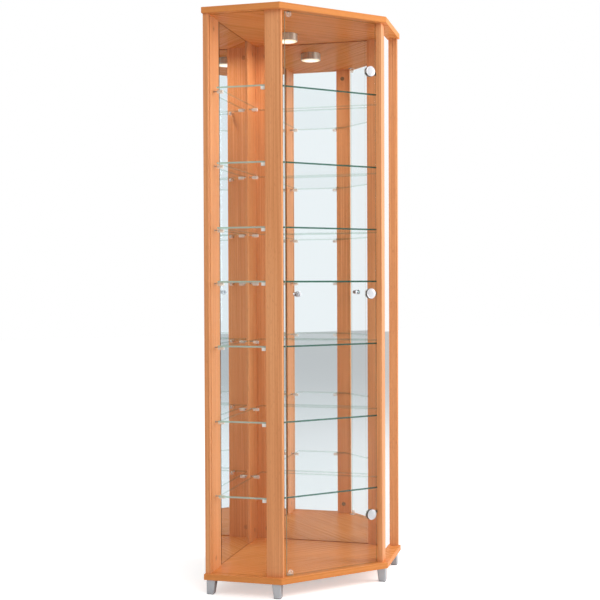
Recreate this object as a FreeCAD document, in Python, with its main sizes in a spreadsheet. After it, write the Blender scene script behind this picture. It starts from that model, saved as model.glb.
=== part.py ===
"""Corner display cabinet: two five-sided panels, veneered uprights, mirrored back, glass sides,
seven glass shelves, a frameless glass door on three cap hinges, a cam lock and a ceiling lamp.

Units are millimetres.  +Z is up, the door faces -Y, the room corner is at +Y and the origin is on
the floor under the middle of the cabinet's box.
"""
import FreeCAD, Part

import math
import os

import Sketcher

from FreeCAD import Placement, Rotation, Vector

ROOT_TWO = math.sqrt(2.0)

# --------------------------------------------------------------------------------------------
# Driving dimensions: alias, value in millimetres or degrees, meaning
# --------------------------------------------------------------------------------------------
DRIVING = [
    ("wall_length", 505.0, "edge of each panel along a wall"),
    ("side_depth", 240.0, "edge of each panel along a glass side"),
    ("foot_height", 44.0, "floor to the underside of the bottom panel"),
    ("panel_thickness", 18.0, "top and bottom panels"),
    ("inner_height", 1660.0, "between the top and bottom panels"),
    ("panel_arris", 1.0, "chamfer along the panel edges"),
    ("board_arris", 0.6, "chamfer along the long edges of the uprights"),
    # uprights against the walls
    ("wall_inset", 3.0, "outer face of the wall boards inside the panel edge"),
    ("board_thickness", 15.0, "wall boards"),
    ("side_board_width", 100.0, "wall board beside a glass side"),
    ("side_board_inset", 6.0, "end of that board inside the panel's side edge"),
    ("corner_board_width", 108.0, "each half of the mitred back corner, on its outer face"),
    # front posts
    ("post_width", 50.0, "front posts, along the glass side"),
    ("post_thickness", 16.0, "front posts"),
    ("side_inset", 16.0, "outer face of the front posts inside the panel's side edge"),
    # panes
    ("side_glass_thickness", 4.0, "fixed side panes"),
    ("side_glass_setback", 4.0, "outer face of the pane behind the outer face of the post"),
    ("mirror_thickness", 4.0, "mirrors of the back"),
    ("mirror_recess", 4.0, "mirror face behind the inner face of the wall boards"),
    ("pane_play", 0.15, "play on each face of a pane in its groove"),
    ("mirror_groove_depth", 8.0, "groove for a mirror in a board's edge"),
    ("post_groove_depth", 6.0, "groove for a side pane in the front post's edge"),
    ("face_groove_depth", 3.0, "groove for a side pane in the face of the wall board"),
    ("panel_groove_depth", 5.0, "grooves for panes in the panels"),
    ("pane_end_play", 0.8, "play at the ends of a pane in its grooves"),
    # shelves
    ("shelf_thickness", 5.0, "glass shelves"),
    ("shelf_wall_offset", 38.0, "shelf edge inside the panel's wall edge"),
    ("shelf_side_offset", 26.0, "shelf edge inside the panel's side edge"),
    ("shelf_post_offset", 36.0, "shelf edge beside a front post, inside the panel's side edge"),
    ("shelf_post_gap", 2.0, "between a post's back edge and the corner cut out of the shelf"),
    ("shelf_front_offset", 39.0, "shelf edge behind the panel's front edge"),
    ("hole_pitch", 32.0, "rows of shelf holes"),
    ("lowest_shelf_height", 225.0, "underside of the lowest shelf above the bottom panel"),
    # shelf pins
    ("pin_radius", 3.5, "head of a shelf pin"),
    ("pin_peg_radius", 2.5, "peg of a shelf pin in its hole"),
    ("pin_peg_length", 9.0, "peg of a shelf pin"),
    ("pin_hole_play", 0.05, "radial play of the peg"),
    ("pin_overlap", 9.0, "how far a pin reaches under its shelf"),
    ("pin_flat", 0.8, "depth of the flat that the shelf rests on"),
    ("side_pin_place", 60.0, "side board's pins inside the panel's side edge"),
    ("corner_pin_place", 93.0, "corner board's pins from the panel's back corner"),
    ("post_pin_reach", 15.0, "shelf pin out of the back edge of a post"),
    # door
    ("door_side_gap", 5.75, "between the door's edges and the front posts"),
    ("door_thickness", 5.0, "glass door"),
    ("door_setback", 17.0, "face of the door behind the panel's front edge"),
    ("door_gap", 2.5, "above and below the door"),
    # hinges
    ("hinge_end_distance", 151.5, "outer hinges from the panels"),
    ("hinge_bore_inset", 22.0, "centre of a hinge's bore from the door's edge"),
    ("hinge_bore_radius", 13.0, "bore in the glass"),
    ("hinge_sleeve_play", 0.2, "radial play of the hinge's sleeve in the glass"),
    ("hinge_cap_radius", 16.0, "round cap on the face of the door"),
    ("hinge_cap_height", 7.0, "cap proud of the glass"),
    ("hinge_cap_round", 1.5, "rounded edge of the cap"),
    ("hinge_washer_thickness", 0.5, "soft washers on both faces of the glass"),
    ("hinge_flange_thickness", 1.5, "flange behind the glass"),
    ("hinge_flange_radius", 15.0, "flange behind the glass"),
    ("hinge_boss_radius", 8.0, "boss that carries the knuckles"),
    ("hinge_stud_radius", 9.0, "stud inside the cap"),
    ("hinge_stud_height", 4.0, "stud in front of the glass"),
    ("hinge_axis_inset", 10.5, "hinge axis from the door's edge"),
    ("hinge_axis_depth", 3.3, "hinge axis behind the door's back face"),
    ("hinge_pin_radius", 1.5, "hinge pin"),
    ("hinge_pin_play", 0.04, "radial play of the pin in the arm"),
    ("knuckle_radius", 2.7, "knuckles round the pin"),
    ("knuckle_half", 5.0, "half height of the arm's knuckle"),
    ("knuckle_gap", 0.3, "between the arm's knuckle and the door's knuckles"),
    ("knuckle_length", 7.0, "each knuckle of the door leaf"),
    ("knuckle_clearance", 0.5, "round the arm's knuckle where the leaf is notched for it"),
    ("pin_head_rim", 0.8, "head of the hinge pin, wider than the pin"),
    ("pin_head_height", 1.0, "head of the hinge pin"),
    ("arm_width", 4.0, "arm of the hinge"),
    ("arm_reach", 19.0, "middle of the cross bar behind the hinge axis"),
    ("arm_plate_length", 28.0, "plate on the post"),
    ("arm_plate_thickness", 3.0, "plate on the post"),
    ("arm_plate_half", 13.0, "half height of the plate"),
    ("arm_plate_start", 16.0, "plate from the post's inner corner"),
    ("screw_radius", 1.75, "small wood screws"),
    ("screw_head_radius", 3.5, "small wood screws"),
    ("screw_head_height", 1.6, "small wood screws"),
    ("screw_tip", 2.0, "point of a small wood screw"),
    ("hinge_screw_length", 13.0, "hinge screws under the head"),
    ("hinge_screw_spread", 9.0, "hinge screws above and below the bar"),
    ("screw_play", 0.05, "radial play of screws in their holes"),
    # lock
    ("lock_edge_distance", 42.0, "lock from the door's free edge"),
    ("lock_plate_radius", 8.2, "round plate of the lock on the face of the door"),
    ("lock_plate_thickness", 3.0, "round plate of the lock"),
    ("lock_plate_round", 0.8, "rounded edge of the plate"),
    ("lock_barrel_radius", 6.3, "barrel through the glass"),
    ("lock_barrel_length", 12.0, "barrel behind the glass"),
    ("lock_bore_play", 0.3, "radial play of the barrel in the glass"),
    ("lock_nut_radius", 8.0, "ring nut behind the glass"),
    ("lock_nut_thickness", 3.0, "ring nut behind the glass"),
    ("lock_plug_radius", 3.6, "turning plug"),
    ("lock_plug_play", 0.05, "radial play of the plug"),
    ("lock_plug_proud", 0.8, "plug in front of the plate"),
    ("lock_plug_rim", 1.0, "rim of the plug, wider than the plug"),
    ("lock_plug_rim_height", 0.6, "rim of the plug"),
    ("lock_slot_width", 1.2, "key slot"),
    ("lock_slot_length", 4.6, "key slot"),
    ("lock_slot_depth", 2.5, "key slot"),
    ("cam_gap", 0.4, "between the barrel and the cam"),
    ("cam_thickness", 2.5, "cam of the lock"),
    ("cam_width", 12.0, "cam of the lock"),
    ("cam_length", 14.0, "cam of the lock, from its axis"),
    ("cam_neck_radius", 2.0, "neck of the plug through the cam"),
    ("cam_neck_play", 0.02, "play of the neck in the cam"),
    ("cam_screw_radius", 4.0, "screw that holds the cam"),
    ("cam_screw_thickness", 2.0, "screw that holds the cam"),
    # door stops
    ("stop_edge_distance", 16.0, "stops from the door's free edge"),
    ("stop_radius", 8.5, "round face of a door stop"),
    ("stop_thickness", 4.0, "round face of a door stop"),
    ("stop_seat", 0.3, "between the closed door and its stops"),
    ("stop_base_depth", 13.0, "base of a door stop"),
    ("stop_base_thickness", 3.0, "base of a door stop"),
    ("stop_screw_length", 12.0, "stop screws under the head"),
    # feet
    ("foot_top", 28.0, "foot under the panel, square"),
    ("foot_bottom", 22.0, "foot on the floor, square"),
    ("foot_side_inset", 8.0, "foot inside the panel's side edge"),
    ("foot_end_inset", 5.0, "foot from the ends of the panel's side edge"),
    ("foot_corner", 3.0, "bevelled corners of a foot"),
    ("foot_sole_arris", 1.5, "chamfered edge of the sole"),
    ("foot_roof", 8.0, "solid top of a foot, which its screw holds"),
    ("foot_bore_radius", 6.0, "bore for the foot's screw head"),
    ("foot_screw_radius", 2.5, "foot screw"),
    ("foot_screw_head_radius", 5.0, "foot screw"),
    ("foot_screw_head_height", 3.0, "foot screw"),
    ("foot_screw_grip", 13.0, "foot screw in the panel"),
    # cam fittings and dowels that join the uprights to the panels
    ("fitting_distance", 34.0, "cam fitting from the panel"),
    ("fitting_radius", 7.5, "cam fitting"),
    ("fitting_depth", 12.0, "cam fitting"),
    ("fitting_slot_length", 9.0, "slot in the face of a cam fitting"),
    ("fitting_play", 0.1, "radial play of the fittings and dowels"),
    ("bolt_radius", 3.0, "bolt of a cam fitting"),
    ("bolt_grip", 11.0, "bolt in the panel"),
    ("dowel_radius", 4.0, "dowels"),
    ("dowel_grip", 12.0, "dowel in the panel"),
    ("dowel_length", 30.0, "dowels"),
    ("dowel_arris", 1.0, "chamfered ends of the dowels"),
    ("side_fitting_place", 60.0, "side board's cam fitting inside the panel's side edge"),
    ("side_dowel_place", 88.0, "side board's dowel inside the panel's side edge"),
    ("corner_fitting_place", 52.0, "corner board's cam fitting from the back corner"),
    ("corner_dowel_place", 86.0, "corner board's dowel from the back corner"),
    ("post_fitting_place", 27.0, "post's cam fitting from its front face"),
    ("post_dowel_place", 10.0, "post's dowel from its front face"),
    # lamp
    ("lamp_place", 24.0, "lamp behind the middle of the cabinet"),
    ("lamp_radius", 34.0, "lamp housing"),
    ("lamp_height", 25.0, "lamp housing with its lens"),
    ("lamp_wall", 2.0, "lamp housing"),
    ("lens_thickness", 4.0, "lamp lens"),
    ("lens_dome", 1.5, "how far the lens stands below the housing"),
    ("lens_play", 0.1, "radial play of the lens"),
    ("holder_radius", 9.0, "lampholder"),
    ("holder_height", 8.0, "lampholder"),
    ("bulb_radius", 4.5, "capsule bulb"),
    ("bulb_length", 7.0, "capsule bulb"),
    ("bulb_shoulder", 2.0, "how far the end of the bulb draws in"),
    ("bulb_tip", 1.5, "rounded end of the bulb"),
    ("lamp_screw_place", 22.0, "lamp screws from the lamp's centre"),
    ("lamp_screw_length", 12.0, "lamp screws under the head"),
    ("cable_hole_radius", 5.0, "hole for the lamp's cable"),
    ("grommet_wall", 1.2, "lining of the cable hole"),
    ("grommet_rim", 2.0, "rim of the lining, wider than the hole"),
    ("grommet_rim_height", 1.2, "rim of the lining, let in flush"),
]

# pitches between the shelves, from the lowest upwards
SHELF_STEPS = (7, 7, 6, 5, 6, 7)


class Size:
    """A length as a number and as the expression that features are bound to."""

    def __init__(self, text, number):
        self.text = text
        self.number = number

    @staticmethod
    def of(other):
        """Take a Size as it is and turn a plain number into one."""
        return other if isinstance(other, Size) else Size(f"({other})", float(other))

    def __add__(self, other):
        other = Size.of(other)
        return Size(f"({self.text} + {other.text})", self.number + other.number)

    __radd__ = __add__

    def __sub__(self, other):
        other = Size.of(other)
        return Size(f"({self.text} - {other.text})", self.number - other.number)

    def __rsub__(self, other):
        return Size.of(other) - self

    def __mul__(self, factor):
        return Size(f"({self.text} * {factor})", self.number * factor)

    __rmul__ = __mul__

    def __neg__(self):
        return Size(f"(0 - {self.text})", -self.number)

    def half(self):
        """Half of this length."""
        return Size(f"({self.text} / 2)", self.number / 2.0)

    def times_root_two(self):
        """This length times the square root of two."""
        return Size(f"({self.text} * sqrt(2))", self.number * ROOT_TWO)

    def over_root_two(self):
        """This length divided by the square root of two."""
        return Size(f"({self.text} / sqrt(2))", self.number / ROOT_TWO)


doc = FreeCAD.newDocument("corner_cabinet")
sheet = doc.addObject("Spreadsheet::Sheet", "Dimensions")
for row, (alias, number, meaning) in enumerate(DRIVING, start=1):
    sheet.set(f"A{row}", meaning)
    sheet.set(f"B{row}", str(number))
    sheet.setAlias(f"B{row}", alias)
doc.recompute()


def dim(alias):
    """Read one driving dimension from the sheet."""
    return Size(f"Dimensions.{alias}", float(sheet.get(alias)))


# --------------------------------------------------------------------------------------------
# Places that follow from the driving dimensions
# --------------------------------------------------------------------------------------------
half_width = dim("wall_length").over_root_two()
half_depth = (dim("wall_length") + dim("side_depth")).over_root_two().half()
front_half = (dim("wall_length") - dim("side_depth")).over_root_two()
side_corner_y = half_depth - half_width
floor_top = dim("foot_height") + dim("panel_thickness")
ceiling = floor_top + dim("inner_height")
wall_face = dim("wall_inset") + dim("board_thickness")
post_face = dim("side_inset") + dim("post_thickness")
glass_outer = dim("side_inset") + dim("side_glass_setback")
glass_inner = glass_outer + dim("side_glass_thickness")
mirror_front = wall_face - dim("mirror_recess")
mirror_back = mirror_front - dim("mirror_thickness")
door_front = dim("door_setback") - half_depth
door_back = door_front + dim("door_thickness")
post_corner = half_width - (dim("side_depth") + post_face).over_root_two()
door_edge = post_corner - dim("door_side_gap")
door_bottom = floor_top + dim("door_gap")
door_height = dim("inner_height") - 2 * dim("door_gap")
middle_height = floor_top + dim("inner_height").half()

# The left wall's frame: x from the back corner along the wall, y into the cabinet.
# The left side's frame: x from the wall along the glass side, y into the cabinet.
TURN_WALL = Rotation(Vector(0, 0, 1), 225)
TURN_SIDE = Rotation(Vector(0, 0, 1), -45)
AXIS_INTO_CABINET = Rotation(Vector(1, 0, 0), -90)
AXIS_INTO_POST_EDGE = Rotation(Vector(0, 1, 0), 90)


def side_point(along, inward):
    """Turn a place in the left side's frame into the cabinet's own x and y."""
    x = (along + inward).over_root_two() - half_width
    y = side_corner_y + (inward - along).over_root_two()
    return x, y


def place(feature, x, y, z, turn=Rotation()):
    """Put a feature at a place whose coordinates stay bound to the sheet."""
    feature.Placement = Placement(Vector(0, 0, 0), turn)
    feature.setExpression("Placement.Base.x", Size.of(x).text)
    feature.setExpression("Placement.Base.y", Size.of(y).text)
    feature.setExpression("Placement.Base.z", Size.of(z).text)
    return feature


def on_left_wall(feature, z=0):
    """Move a feature from the left wall's frame into the cabinet."""
    return place(feature, 0, half_depth, z, TURN_WALL)


def on_left_side(feature, z=0):
    """Move a feature from the left side's frame into the cabinet."""
    return place(feature, -half_width, side_corner_y, z, TURN_SIDE)


def box(name, x, y, z, length, width, height):
    """A block from its lowest corner."""
    feature = doc.addObject("Part::Box", name)
    feature.setExpression("Length", Size.of(length).text)
    feature.setExpression("Width", Size.of(width).text)
    feature.setExpression("Height", Size.of(height).text)
    return place(feature, x, y, z)


def cylinder(name, x, y, z, radius, height, turn=Rotation()):
    """A cylinder from the centre of its base, along Z before its turn."""
    feature = doc.addObject("Part::Cylinder", name)
    feature.setExpression("Radius", Size.of(radius).text)
    feature.setExpression("Height", Size.of(height).text)
    return place(feature, x, y, z, turn)


def cone(name, x, y, z, base_radius, top_radius, height, turn=Rotation()):
    """A truncated cone from the centre of its base, along Z before its turn."""
    feature = doc.addObject("Part::Cone", name)
    feature.setExpression("Radius1", Size.of(base_radius).text)
    feature.setExpression("Radius2", Size.of(top_radius).text)
    feature.setExpression("Height", Size.of(height).text)
    return place(feature, x, y, z, turn)


def fuse(name, features):
    """Join overlapping features into one."""
    feature = doc.addObject("Part::MultiFuse", name)
    feature.Shapes = features
    feature.Refine = True
    return feature


def gather(name, features):
    """Keep separate features together without joining them."""
    feature = doc.addObject("Part::Compound", name)
    feature.Links = features
    return feature


def cut(name, base, tools):
    """Take one feature, or several that don't touch each other, away from another."""
    feature = doc.addObject("Part::Cut", name)
    feature.Base = base
    feature.Tool = tools[0] if len(tools) == 1 else gather(name + "_tools", tools)
    return feature


def mirrored(name, source):
    """The same feature on the other side of the cabinet."""
    feature = doc.addObject("Part::Mirroring", name)
    feature.Source = source
    feature.Normal = (1, 0, 0)
    feature.Base = (0, 0, 0)
    return feature


def flipped(name, source):
    """The same feature turned upside down about the middle of the inner height."""
    feature = doc.addObject("Part::Mirroring", name)
    feature.Source = source
    feature.Normal = (0, 0, 1)
    feature.Base = (0, 0, 0)
    feature.setExpression("Base.z", middle_height.text)
    return feature


def plane_of(body, role):
    """One of a body's own origin planes."""
    return next(item for item in body.Origin.OriginFeatures if item.Role == role)


def outline(body, name, points, role="XY_Plane", offset=None):
    """A closed sketch through points whose coordinates are bound to the sheet."""
    sketch = body.newObject("Sketcher::SketchObject", name)
    sketch.AttachmentSupport = (plane_of(body, role), [""])
    sketch.MapMode = "FlatFace"
    if offset is not None:
        sketch.setExpression("AttachmentOffset.Base.z", offset.text)
    corners = [Vector(Size.of(x).number, Size.of(y).number, 0) for x, y in points]
    count = len(corners)
    for index, corner in enumerate(corners):
        sketch.addGeometry(Part.LineSegment(corner, corners[(index + 1) % count]), False)
    for index in range(count):
        following = (index + 1) % count
        sketch.addConstraint(Sketcher.Constraint("Coincident", index, 2, following, 1))
    for index, (x, y) in enumerate(points):
        for kind, size in (("DistanceX", Size.of(x)), ("DistanceY", Size.of(y))):
            if abs(size.number) < 1e-9:
                axis = -2 if kind == "DistanceX" else -1
                sketch.addConstraint(Sketcher.Constraint("PointOnObject", index, 1, axis))
                continue
            place_in_list = sketch.addConstraint(
                Sketcher.Constraint(kind, index, 1, size.number))
            sketch.setExpression(f"Constraints[{place_in_list}]", size.text)
    return sketch


def prism(name, points, height):
    """A body padded from an outline."""
    body = doc.addObject("PartDesign::Body", name)
    sketch = outline(body, name + "_outline", points)
    pad = body.newObject("PartDesign::Pad", name + "_pad")
    pad.Profile = sketch
    pad.setExpression("Length", Size.of(height).text)
    body.Tip = pad
    return body


def turned(name, points):
    """A body revolved about Z from an outline given as radius and height."""
    body = doc.addObject("PartDesign::Body", name)
    sketch = outline(body, name + "_outline", points, role="XZ_Plane")
    spin = body.newObject("PartDesign::Revolution", name + "_turn")
    spin.Profile = sketch
    spin.ReferenceAxis = (sketch, ["V_Axis"])
    spin.Angle = 360
    body.Tip = spin
    return body


def faces_facing(shape, direction):
    """Names of the flat faces whose outward normal points one way."""
    names = []
    for index, face in enumerate(shape.Faces, start=1):
        if isinstance(face.Surface, Part.Plane):
            if face.normalAt(0, 0).dot(direction) > 0.999:
                names.append(f"Face{index}")
    return names


def bevel_edges(body, kind, size, directions):
    """Chamfer or fillet every edge of the faces that point in the given directions."""
    doc.recompute()
    tip = body.Tip
    names = []
    for direction in directions:
        names.extend(faces_facing(tip.Shape, direction))
    edge = body.newObject(f"PartDesign::{kind}", body.Name + "_arris")
    edge.Base = (tip, names)
    edge.setExpression("Size" if kind == "Chamfer" else "Radius", size.text)
    body.Tip = edge
    return body


def copies(name, master, placements):
    """Separate copies of one small piece."""
    feature = doc.addObject("Part::Feature", name)
    solids = []
    for placement in placements:
        solid = master.Shape.copy()
        solid.Placement = placement.multiply(solid.Placement)
        solids.append(solid)
    feature.Shape = Part.makeCompound(solids)
    feature.Placement = Placement()
    return feature


parts = []


def part(label, feature):
    """List a finished sub-part under the name of its node."""
    feature.Label = label
    parts.append(feature)
    return feature


# --------------------------------------------------------------------------------------------
# Shelf heights and the places of the pins
# --------------------------------------------------------------------------------------------
shelf_undersides = [floor_top + dim("lowest_shelf_height")]
for steps in SHELF_STEPS:
    shelf_undersides.append(shelf_undersides[-1] + steps * dim("hole_pitch"))
pin_seat = dim("pin_radius") - dim("pin_flat")
wall_pin_reach = dim("shelf_wall_offset") - wall_face + dim("pin_overlap")
post_pin_row = (glass_inner + post_face).half()
side_pin_place = dim("wall_length") - dim("side_pin_place")


def hole_row(name, along, inward, turn):
    """Holes for the pins of one upright, from a place clear of it and turned into it."""
    holes = []
    for number, underside in enumerate(shelf_undersides, start=1):
        holes.append(cylinder(
            f"{name}_{number}", along, inward, underside - pin_seat,
            dim("pin_peg_radius") + dim("pin_hole_play"), dim("pin_peg_length") + 1, turn))
    return holes


# --------------------------------------------------------------------------------------------
# Cam fittings and dowels: places along each upright and in its thickness
# --------------------------------------------------------------------------------------------
board_middle = dim("wall_inset") + dim("board_thickness").half()
post_middle = dim("side_inset") + dim("post_thickness").half()
side_fitting = dim("wall_length") - dim("side_fitting_place")
side_dowel = dim("wall_length") - dim("side_dowel_place")
post_fitting = dim("side_depth") - dim("post_fitting_place")
post_dowel = dim("side_depth") - dim("post_dowel_place")
bolt_hole = dim("bolt_radius") + dim("fitting_play")
dowel_hole = dim("dowel_radius") + dim("fitting_play")
dowel_in_board = dim("dowel_length") - dim("dowel_grip")


def joint_holes(name, fitting_along, dowel_along, middle, face):
    """Bores at both ends of an upright for its cam fittings, bolts and dowels."""
    low_cam = floor_top + dim("fitting_distance")
    lower = fuse(name + "_cam_low", [
        cylinder(name + "_cam", fitting_along, face - dim("fitting_depth"), low_cam,
                 dim("fitting_radius") + dim("fitting_play"),
                 dim("fitting_depth") + 1, AXIS_INTO_CABINET),
        cylinder(name + "_bolt", fitting_along, middle, floor_top - 1,
                 bolt_hole, dim("fitting_distance") + 1)])
    dowel = cylinder(name + "_dowel", dowel_along, middle, floor_top - 1,
                     dowel_hole, dowel_in_board + 1)
    return [lower, dowel, flipped(name + "_cam_high", lower), flipped(name + "_dowel_high", dowel)]


# --------------------------------------------------------------------------------------------
# Uprights
# --------------------------------------------------------------------------------------------
arris = dim("board_arris")
groove_low = mirror_back - dim("pane_play")
groove_high = mirror_front + dim("pane_play")
corner_end = dim("wall_inset") + dim("corner_board_width")
side_board_start = dim("wall_length") - dim("side_board_inset") - dim("side_board_width")
side_board_end = dim("wall_length") - dim("side_board_inset")
pane_groove_start = dim("wall_length") - glass_inner - dim("pane_play")
pane_groove_end = dim("wall_length") - glass_outer + dim("pane_play")
face_groove_floor = wall_face - dim("face_groove_depth")

corner_profile = [
    (dim("wall_inset"), dim("wall_inset")),
    (corner_end, dim("wall_inset")),
    (corner_end, groove_low),
    (corner_end - dim("mirror_groove_depth"), groove_low),
    (corner_end - dim("mirror_groove_depth"), groove_high),
    (corner_end, groove_high),
    (corner_end, wall_face - arris),
    (corner_end - arris, wall_face),
    (wall_face, wall_face),
]
corner_blank = on_left_wall(prism("corner_blank", corner_profile, dim("inner_height")), floor_top)
corner_bores = hole_row("corner_pin_hole", dim("corner_pin_place"),
                        wall_face - dim("pin_peg_length"), AXIS_INTO_CABINET)
corner_bores += joint_holes("corner_joint", dim("corner_fitting_place"),
                            dim("corner_dowel_place"), board_middle, wall_face)
corner_tools = on_left_wall(gather("corner_bores", corner_bores))
left_corner_board = part("left_corner_board",
                         cut("left_corner_cut", corner_blank, [corner_tools]))
part("right_corner_board", mirrored("right_corner_mirror", left_corner_board))

side_board_profile = [
    (side_board_start, dim("wall_inset")),
    (side_board_end, dim("wall_inset")),
    (side_board_end, wall_face - arris),
    (side_board_end - arris, wall_face),
    (pane_groove_end, wall_face),
    (pane_groove_end, face_groove_floor),
    (pane_groove_start, face_groove_floor),
    (pane_groove_start, wall_face),
    (side_board_start + arris, wall_face),
    (side_board_start, wall_face - arris),
    (side_board_start, groove_high),
    (side_board_start + dim("mirror_groove_depth"), groove_high),
    (side_board_start + dim("mirror_groove_depth"), groove_low),
    (side_board_start, groove_low),
]
side_board_blank = on_left_wall(
    prism("side_board_blank", side_board_profile, dim("inner_height")), floor_top)
side_board_bores = hole_row("side_pin_hole", side_pin_place,
                            wall_face - dim("pin_peg_length"), AXIS_INTO_CABINET)
side_board_bores += joint_holes("side_joint", side_fitting, side_dowel, board_middle, wall_face)
side_board_tools = on_left_wall(gather("side_board_bores", side_board_bores))
left_side_board = part("left_side_board",
                       cut("left_side_board_cut", side_board_blank, [side_board_tools]))
part("right_side_board", mirrored("right_side_board_mirror", left_side_board))

post_start = dim("side_depth") - dim("post_width")
post_end = dim("side_depth")
post_groove_low = glass_outer - dim("pane_play")
post_groove_high = glass_inner + dim("pane_play")
post_profile = [
    (post_start, dim("side_inset") + arris),
    (post_start + arris, dim("side_inset")),
    (post_end - arris, dim("side_inset")),
    (post_end, dim("side_inset") + arris),
    (post_end, post_face - arris),
    (post_end - arris, post_face),
    (post_start + arris, post_face),
    (post_start, post_face - arris),
    (post_start, post_groove_high),
    (post_start + dim("post_groove_depth"), post_groove_high),
    (post_start + dim("post_groove_depth"), post_groove_low),
    (post_start, post_groove_low),
]
post_blank = on_left_side(prism("post_blank", post_profile, dim("inner_height")), floor_top)
post_bores = hole_row("post_pin_hole", post_start - 1, post_pin_row, AXIS_INTO_POST_EDGE)
post_bores += joint_holes("post_joint", post_fitting, post_dowel, post_middle, post_face)
post_tools = on_left_side(gather("post_bores", post_bores))
left_front_post = part("left_front_post", cut("left_post_cut", post_blank, [post_tools]))
right_post_blank = mirrored("right_post_blank", left_front_post)

# --------------------------------------------------------------------------------------------
# Panes: two side glasses and two mirrors, held in the grooves
# --------------------------------------------------------------------------------------------
pane_bottom = floor_top - dim("panel_groove_depth")
pane_height = dim("inner_height") + 2 * dim("panel_groove_depth") - dim("pane_end_play")
side_pane_start = face_groove_floor
side_pane_end = post_start + dim("post_groove_depth") - dim("pane_end_play")
mirror_start = corner_end - dim("mirror_groove_depth") + dim("pane_end_play")
mirror_end = side_board_start + dim("mirror_groove_depth") - dim("pane_end_play")

side_pane = box("side_pane", side_pane_start, glass_outer, pane_bottom,
                side_pane_end - side_pane_start, dim("side_glass_thickness"), pane_height)
left_side_glass = part("left_side_glass",
                       on_left_side(gather("left_pane_place", [side_pane])))
part("right_side_glass", mirrored("right_side_glass_mirror", left_side_glass))

mirror_pane = box("mirror_pane", mirror_start, mirror_back, pane_bottom,
                  mirror_end - mirror_start, dim("mirror_thickness"), pane_height)
left_mirror = part("left_mirror", on_left_wall(gather("left_mirror_place", [mirror_pane])))
part("right_mirror", mirrored("right_mirror_mirror", left_mirror))

# --------------------------------------------------------------------------------------------
# Panels
# --------------------------------------------------------------------------------------------
panel_outline = [
    (0, half_depth),
    (-half_width, side_corner_y),
    (-front_half, -half_depth),
    (front_half, -half_depth),
    (half_width, side_corner_y),
]


def panel_blank(name, underside):
    """A five-sided panel with its edges eased."""
    body = place(prism(name, panel_outline, dim("panel_thickness")), 0, 0, underside)
    return bevel_edges(body, "Chamfer", dim("panel_arris"), [Vector(0, 0, 1), Vector(0, 0, -1)])


play = dim("pane_play")
side_groove = on_left_side(gather("side_groove_place", [box(
    "side_groove", side_pane_start - play, glass_outer - play, pane_bottom,
    side_pane_end - side_pane_start + 2 * play, dim("side_glass_thickness") + 2 * play,
    dim("panel_groove_depth") + 1)]))
mirror_groove = on_left_wall(gather("mirror_groove_place", [box(
    "mirror_groove", mirror_start - play, mirror_back - play, pane_bottom,
    mirror_end - mirror_start + 2 * play, dim("mirror_thickness") + 2 * play,
    dim("panel_groove_depth") + 1)]))


def panel_joint_holes(name, fitting_along, dowel_along, middle):
    """Blind holes in the bottom panel for one upright's bolt and dowel."""
    return [
        cylinder(name + "_bolt_hole", fitting_along, middle, floor_top - dim("bolt_grip"),
                 bolt_hole, dim("bolt_grip") + 1),
        cylinder(name + "_dowel_hole", dowel_along, middle, floor_top - dim("dowel_grip"),
                 dowel_hole, dim("dowel_grip") + 1),
    ]


wall_panel_holes = on_left_wall(gather("wall_panel_holes", (
    panel_joint_holes("corner", dim("corner_fitting_place"), dim("corner_dowel_place"),
                      board_middle)
    + panel_joint_holes("side", side_fitting, side_dowel, board_middle))))
side_panel_holes = on_left_side(gather("side_panel_holes", panel_joint_holes(
    "post", post_fitting, post_dowel, post_middle)))
left_panel_tools = [side_groove, mirror_groove, wall_panel_holes, side_panel_holes]
right_panel_tools = [
    mirrored(f"right_panel_tool_{index}", tool) for index, tool in enumerate(left_panel_tools)]
inside_tools = gather("inside_tools", left_panel_tools + right_panel_tools)

stop_x = dim("stop_edge_distance") - door_edge
stop_front = door_back + dim("stop_seat")
stop_screw_y = stop_front + dim("stop_thickness") + (
    dim("stop_base_depth") - dim("stop_thickness")).half()
screw_hole = dim("screw_radius") + dim("screw_play")
stop_screw_grip = dim("stop_screw_length") - dim("stop_base_thickness")
low_stop_hole = cylinder("low_stop_hole", stop_x, stop_screw_y, floor_top - stop_screw_grip,
                         screw_hole, stop_screw_grip + 1)

# Each foot is placed by its screw, which stands in the middle of the sole.
foot_inward = dim("foot_side_inset") + dim("foot_bottom").half()
foot_from_end = dim("foot_end_inset") + dim("foot_bottom").half()
wall_foot_x, wall_foot_y = side_point(foot_from_end, foot_inward)
front_foot_x, front_foot_y = side_point(dim("side_depth") - foot_from_end, foot_inward)
rear_foot_y = half_depth - foot_inward.times_root_two()
foot_places = [
    (wall_foot_x, wall_foot_y),
    (front_foot_x, front_foot_y),
    (-front_foot_x, front_foot_y),
    (-wall_foot_x, wall_foot_y),
    (Size.of(0), rear_foot_y),
]
foot_screw_holes = [
    cylinder(f"foot_screw_hole_{index}", x, y, dim("foot_height") - 1,
             dim("foot_screw_radius") + dim("screw_play"), dim("foot_screw_grip") + 1)
    for index, (x, y) in enumerate(foot_places, start=1)]

bottom_blank = panel_blank("bottom_blank", dim("foot_height"))
part("bottom_panel", cut("bottom_cut", bottom_blank,
                         [inside_tools, low_stop_hole] + foot_screw_holes))

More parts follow.
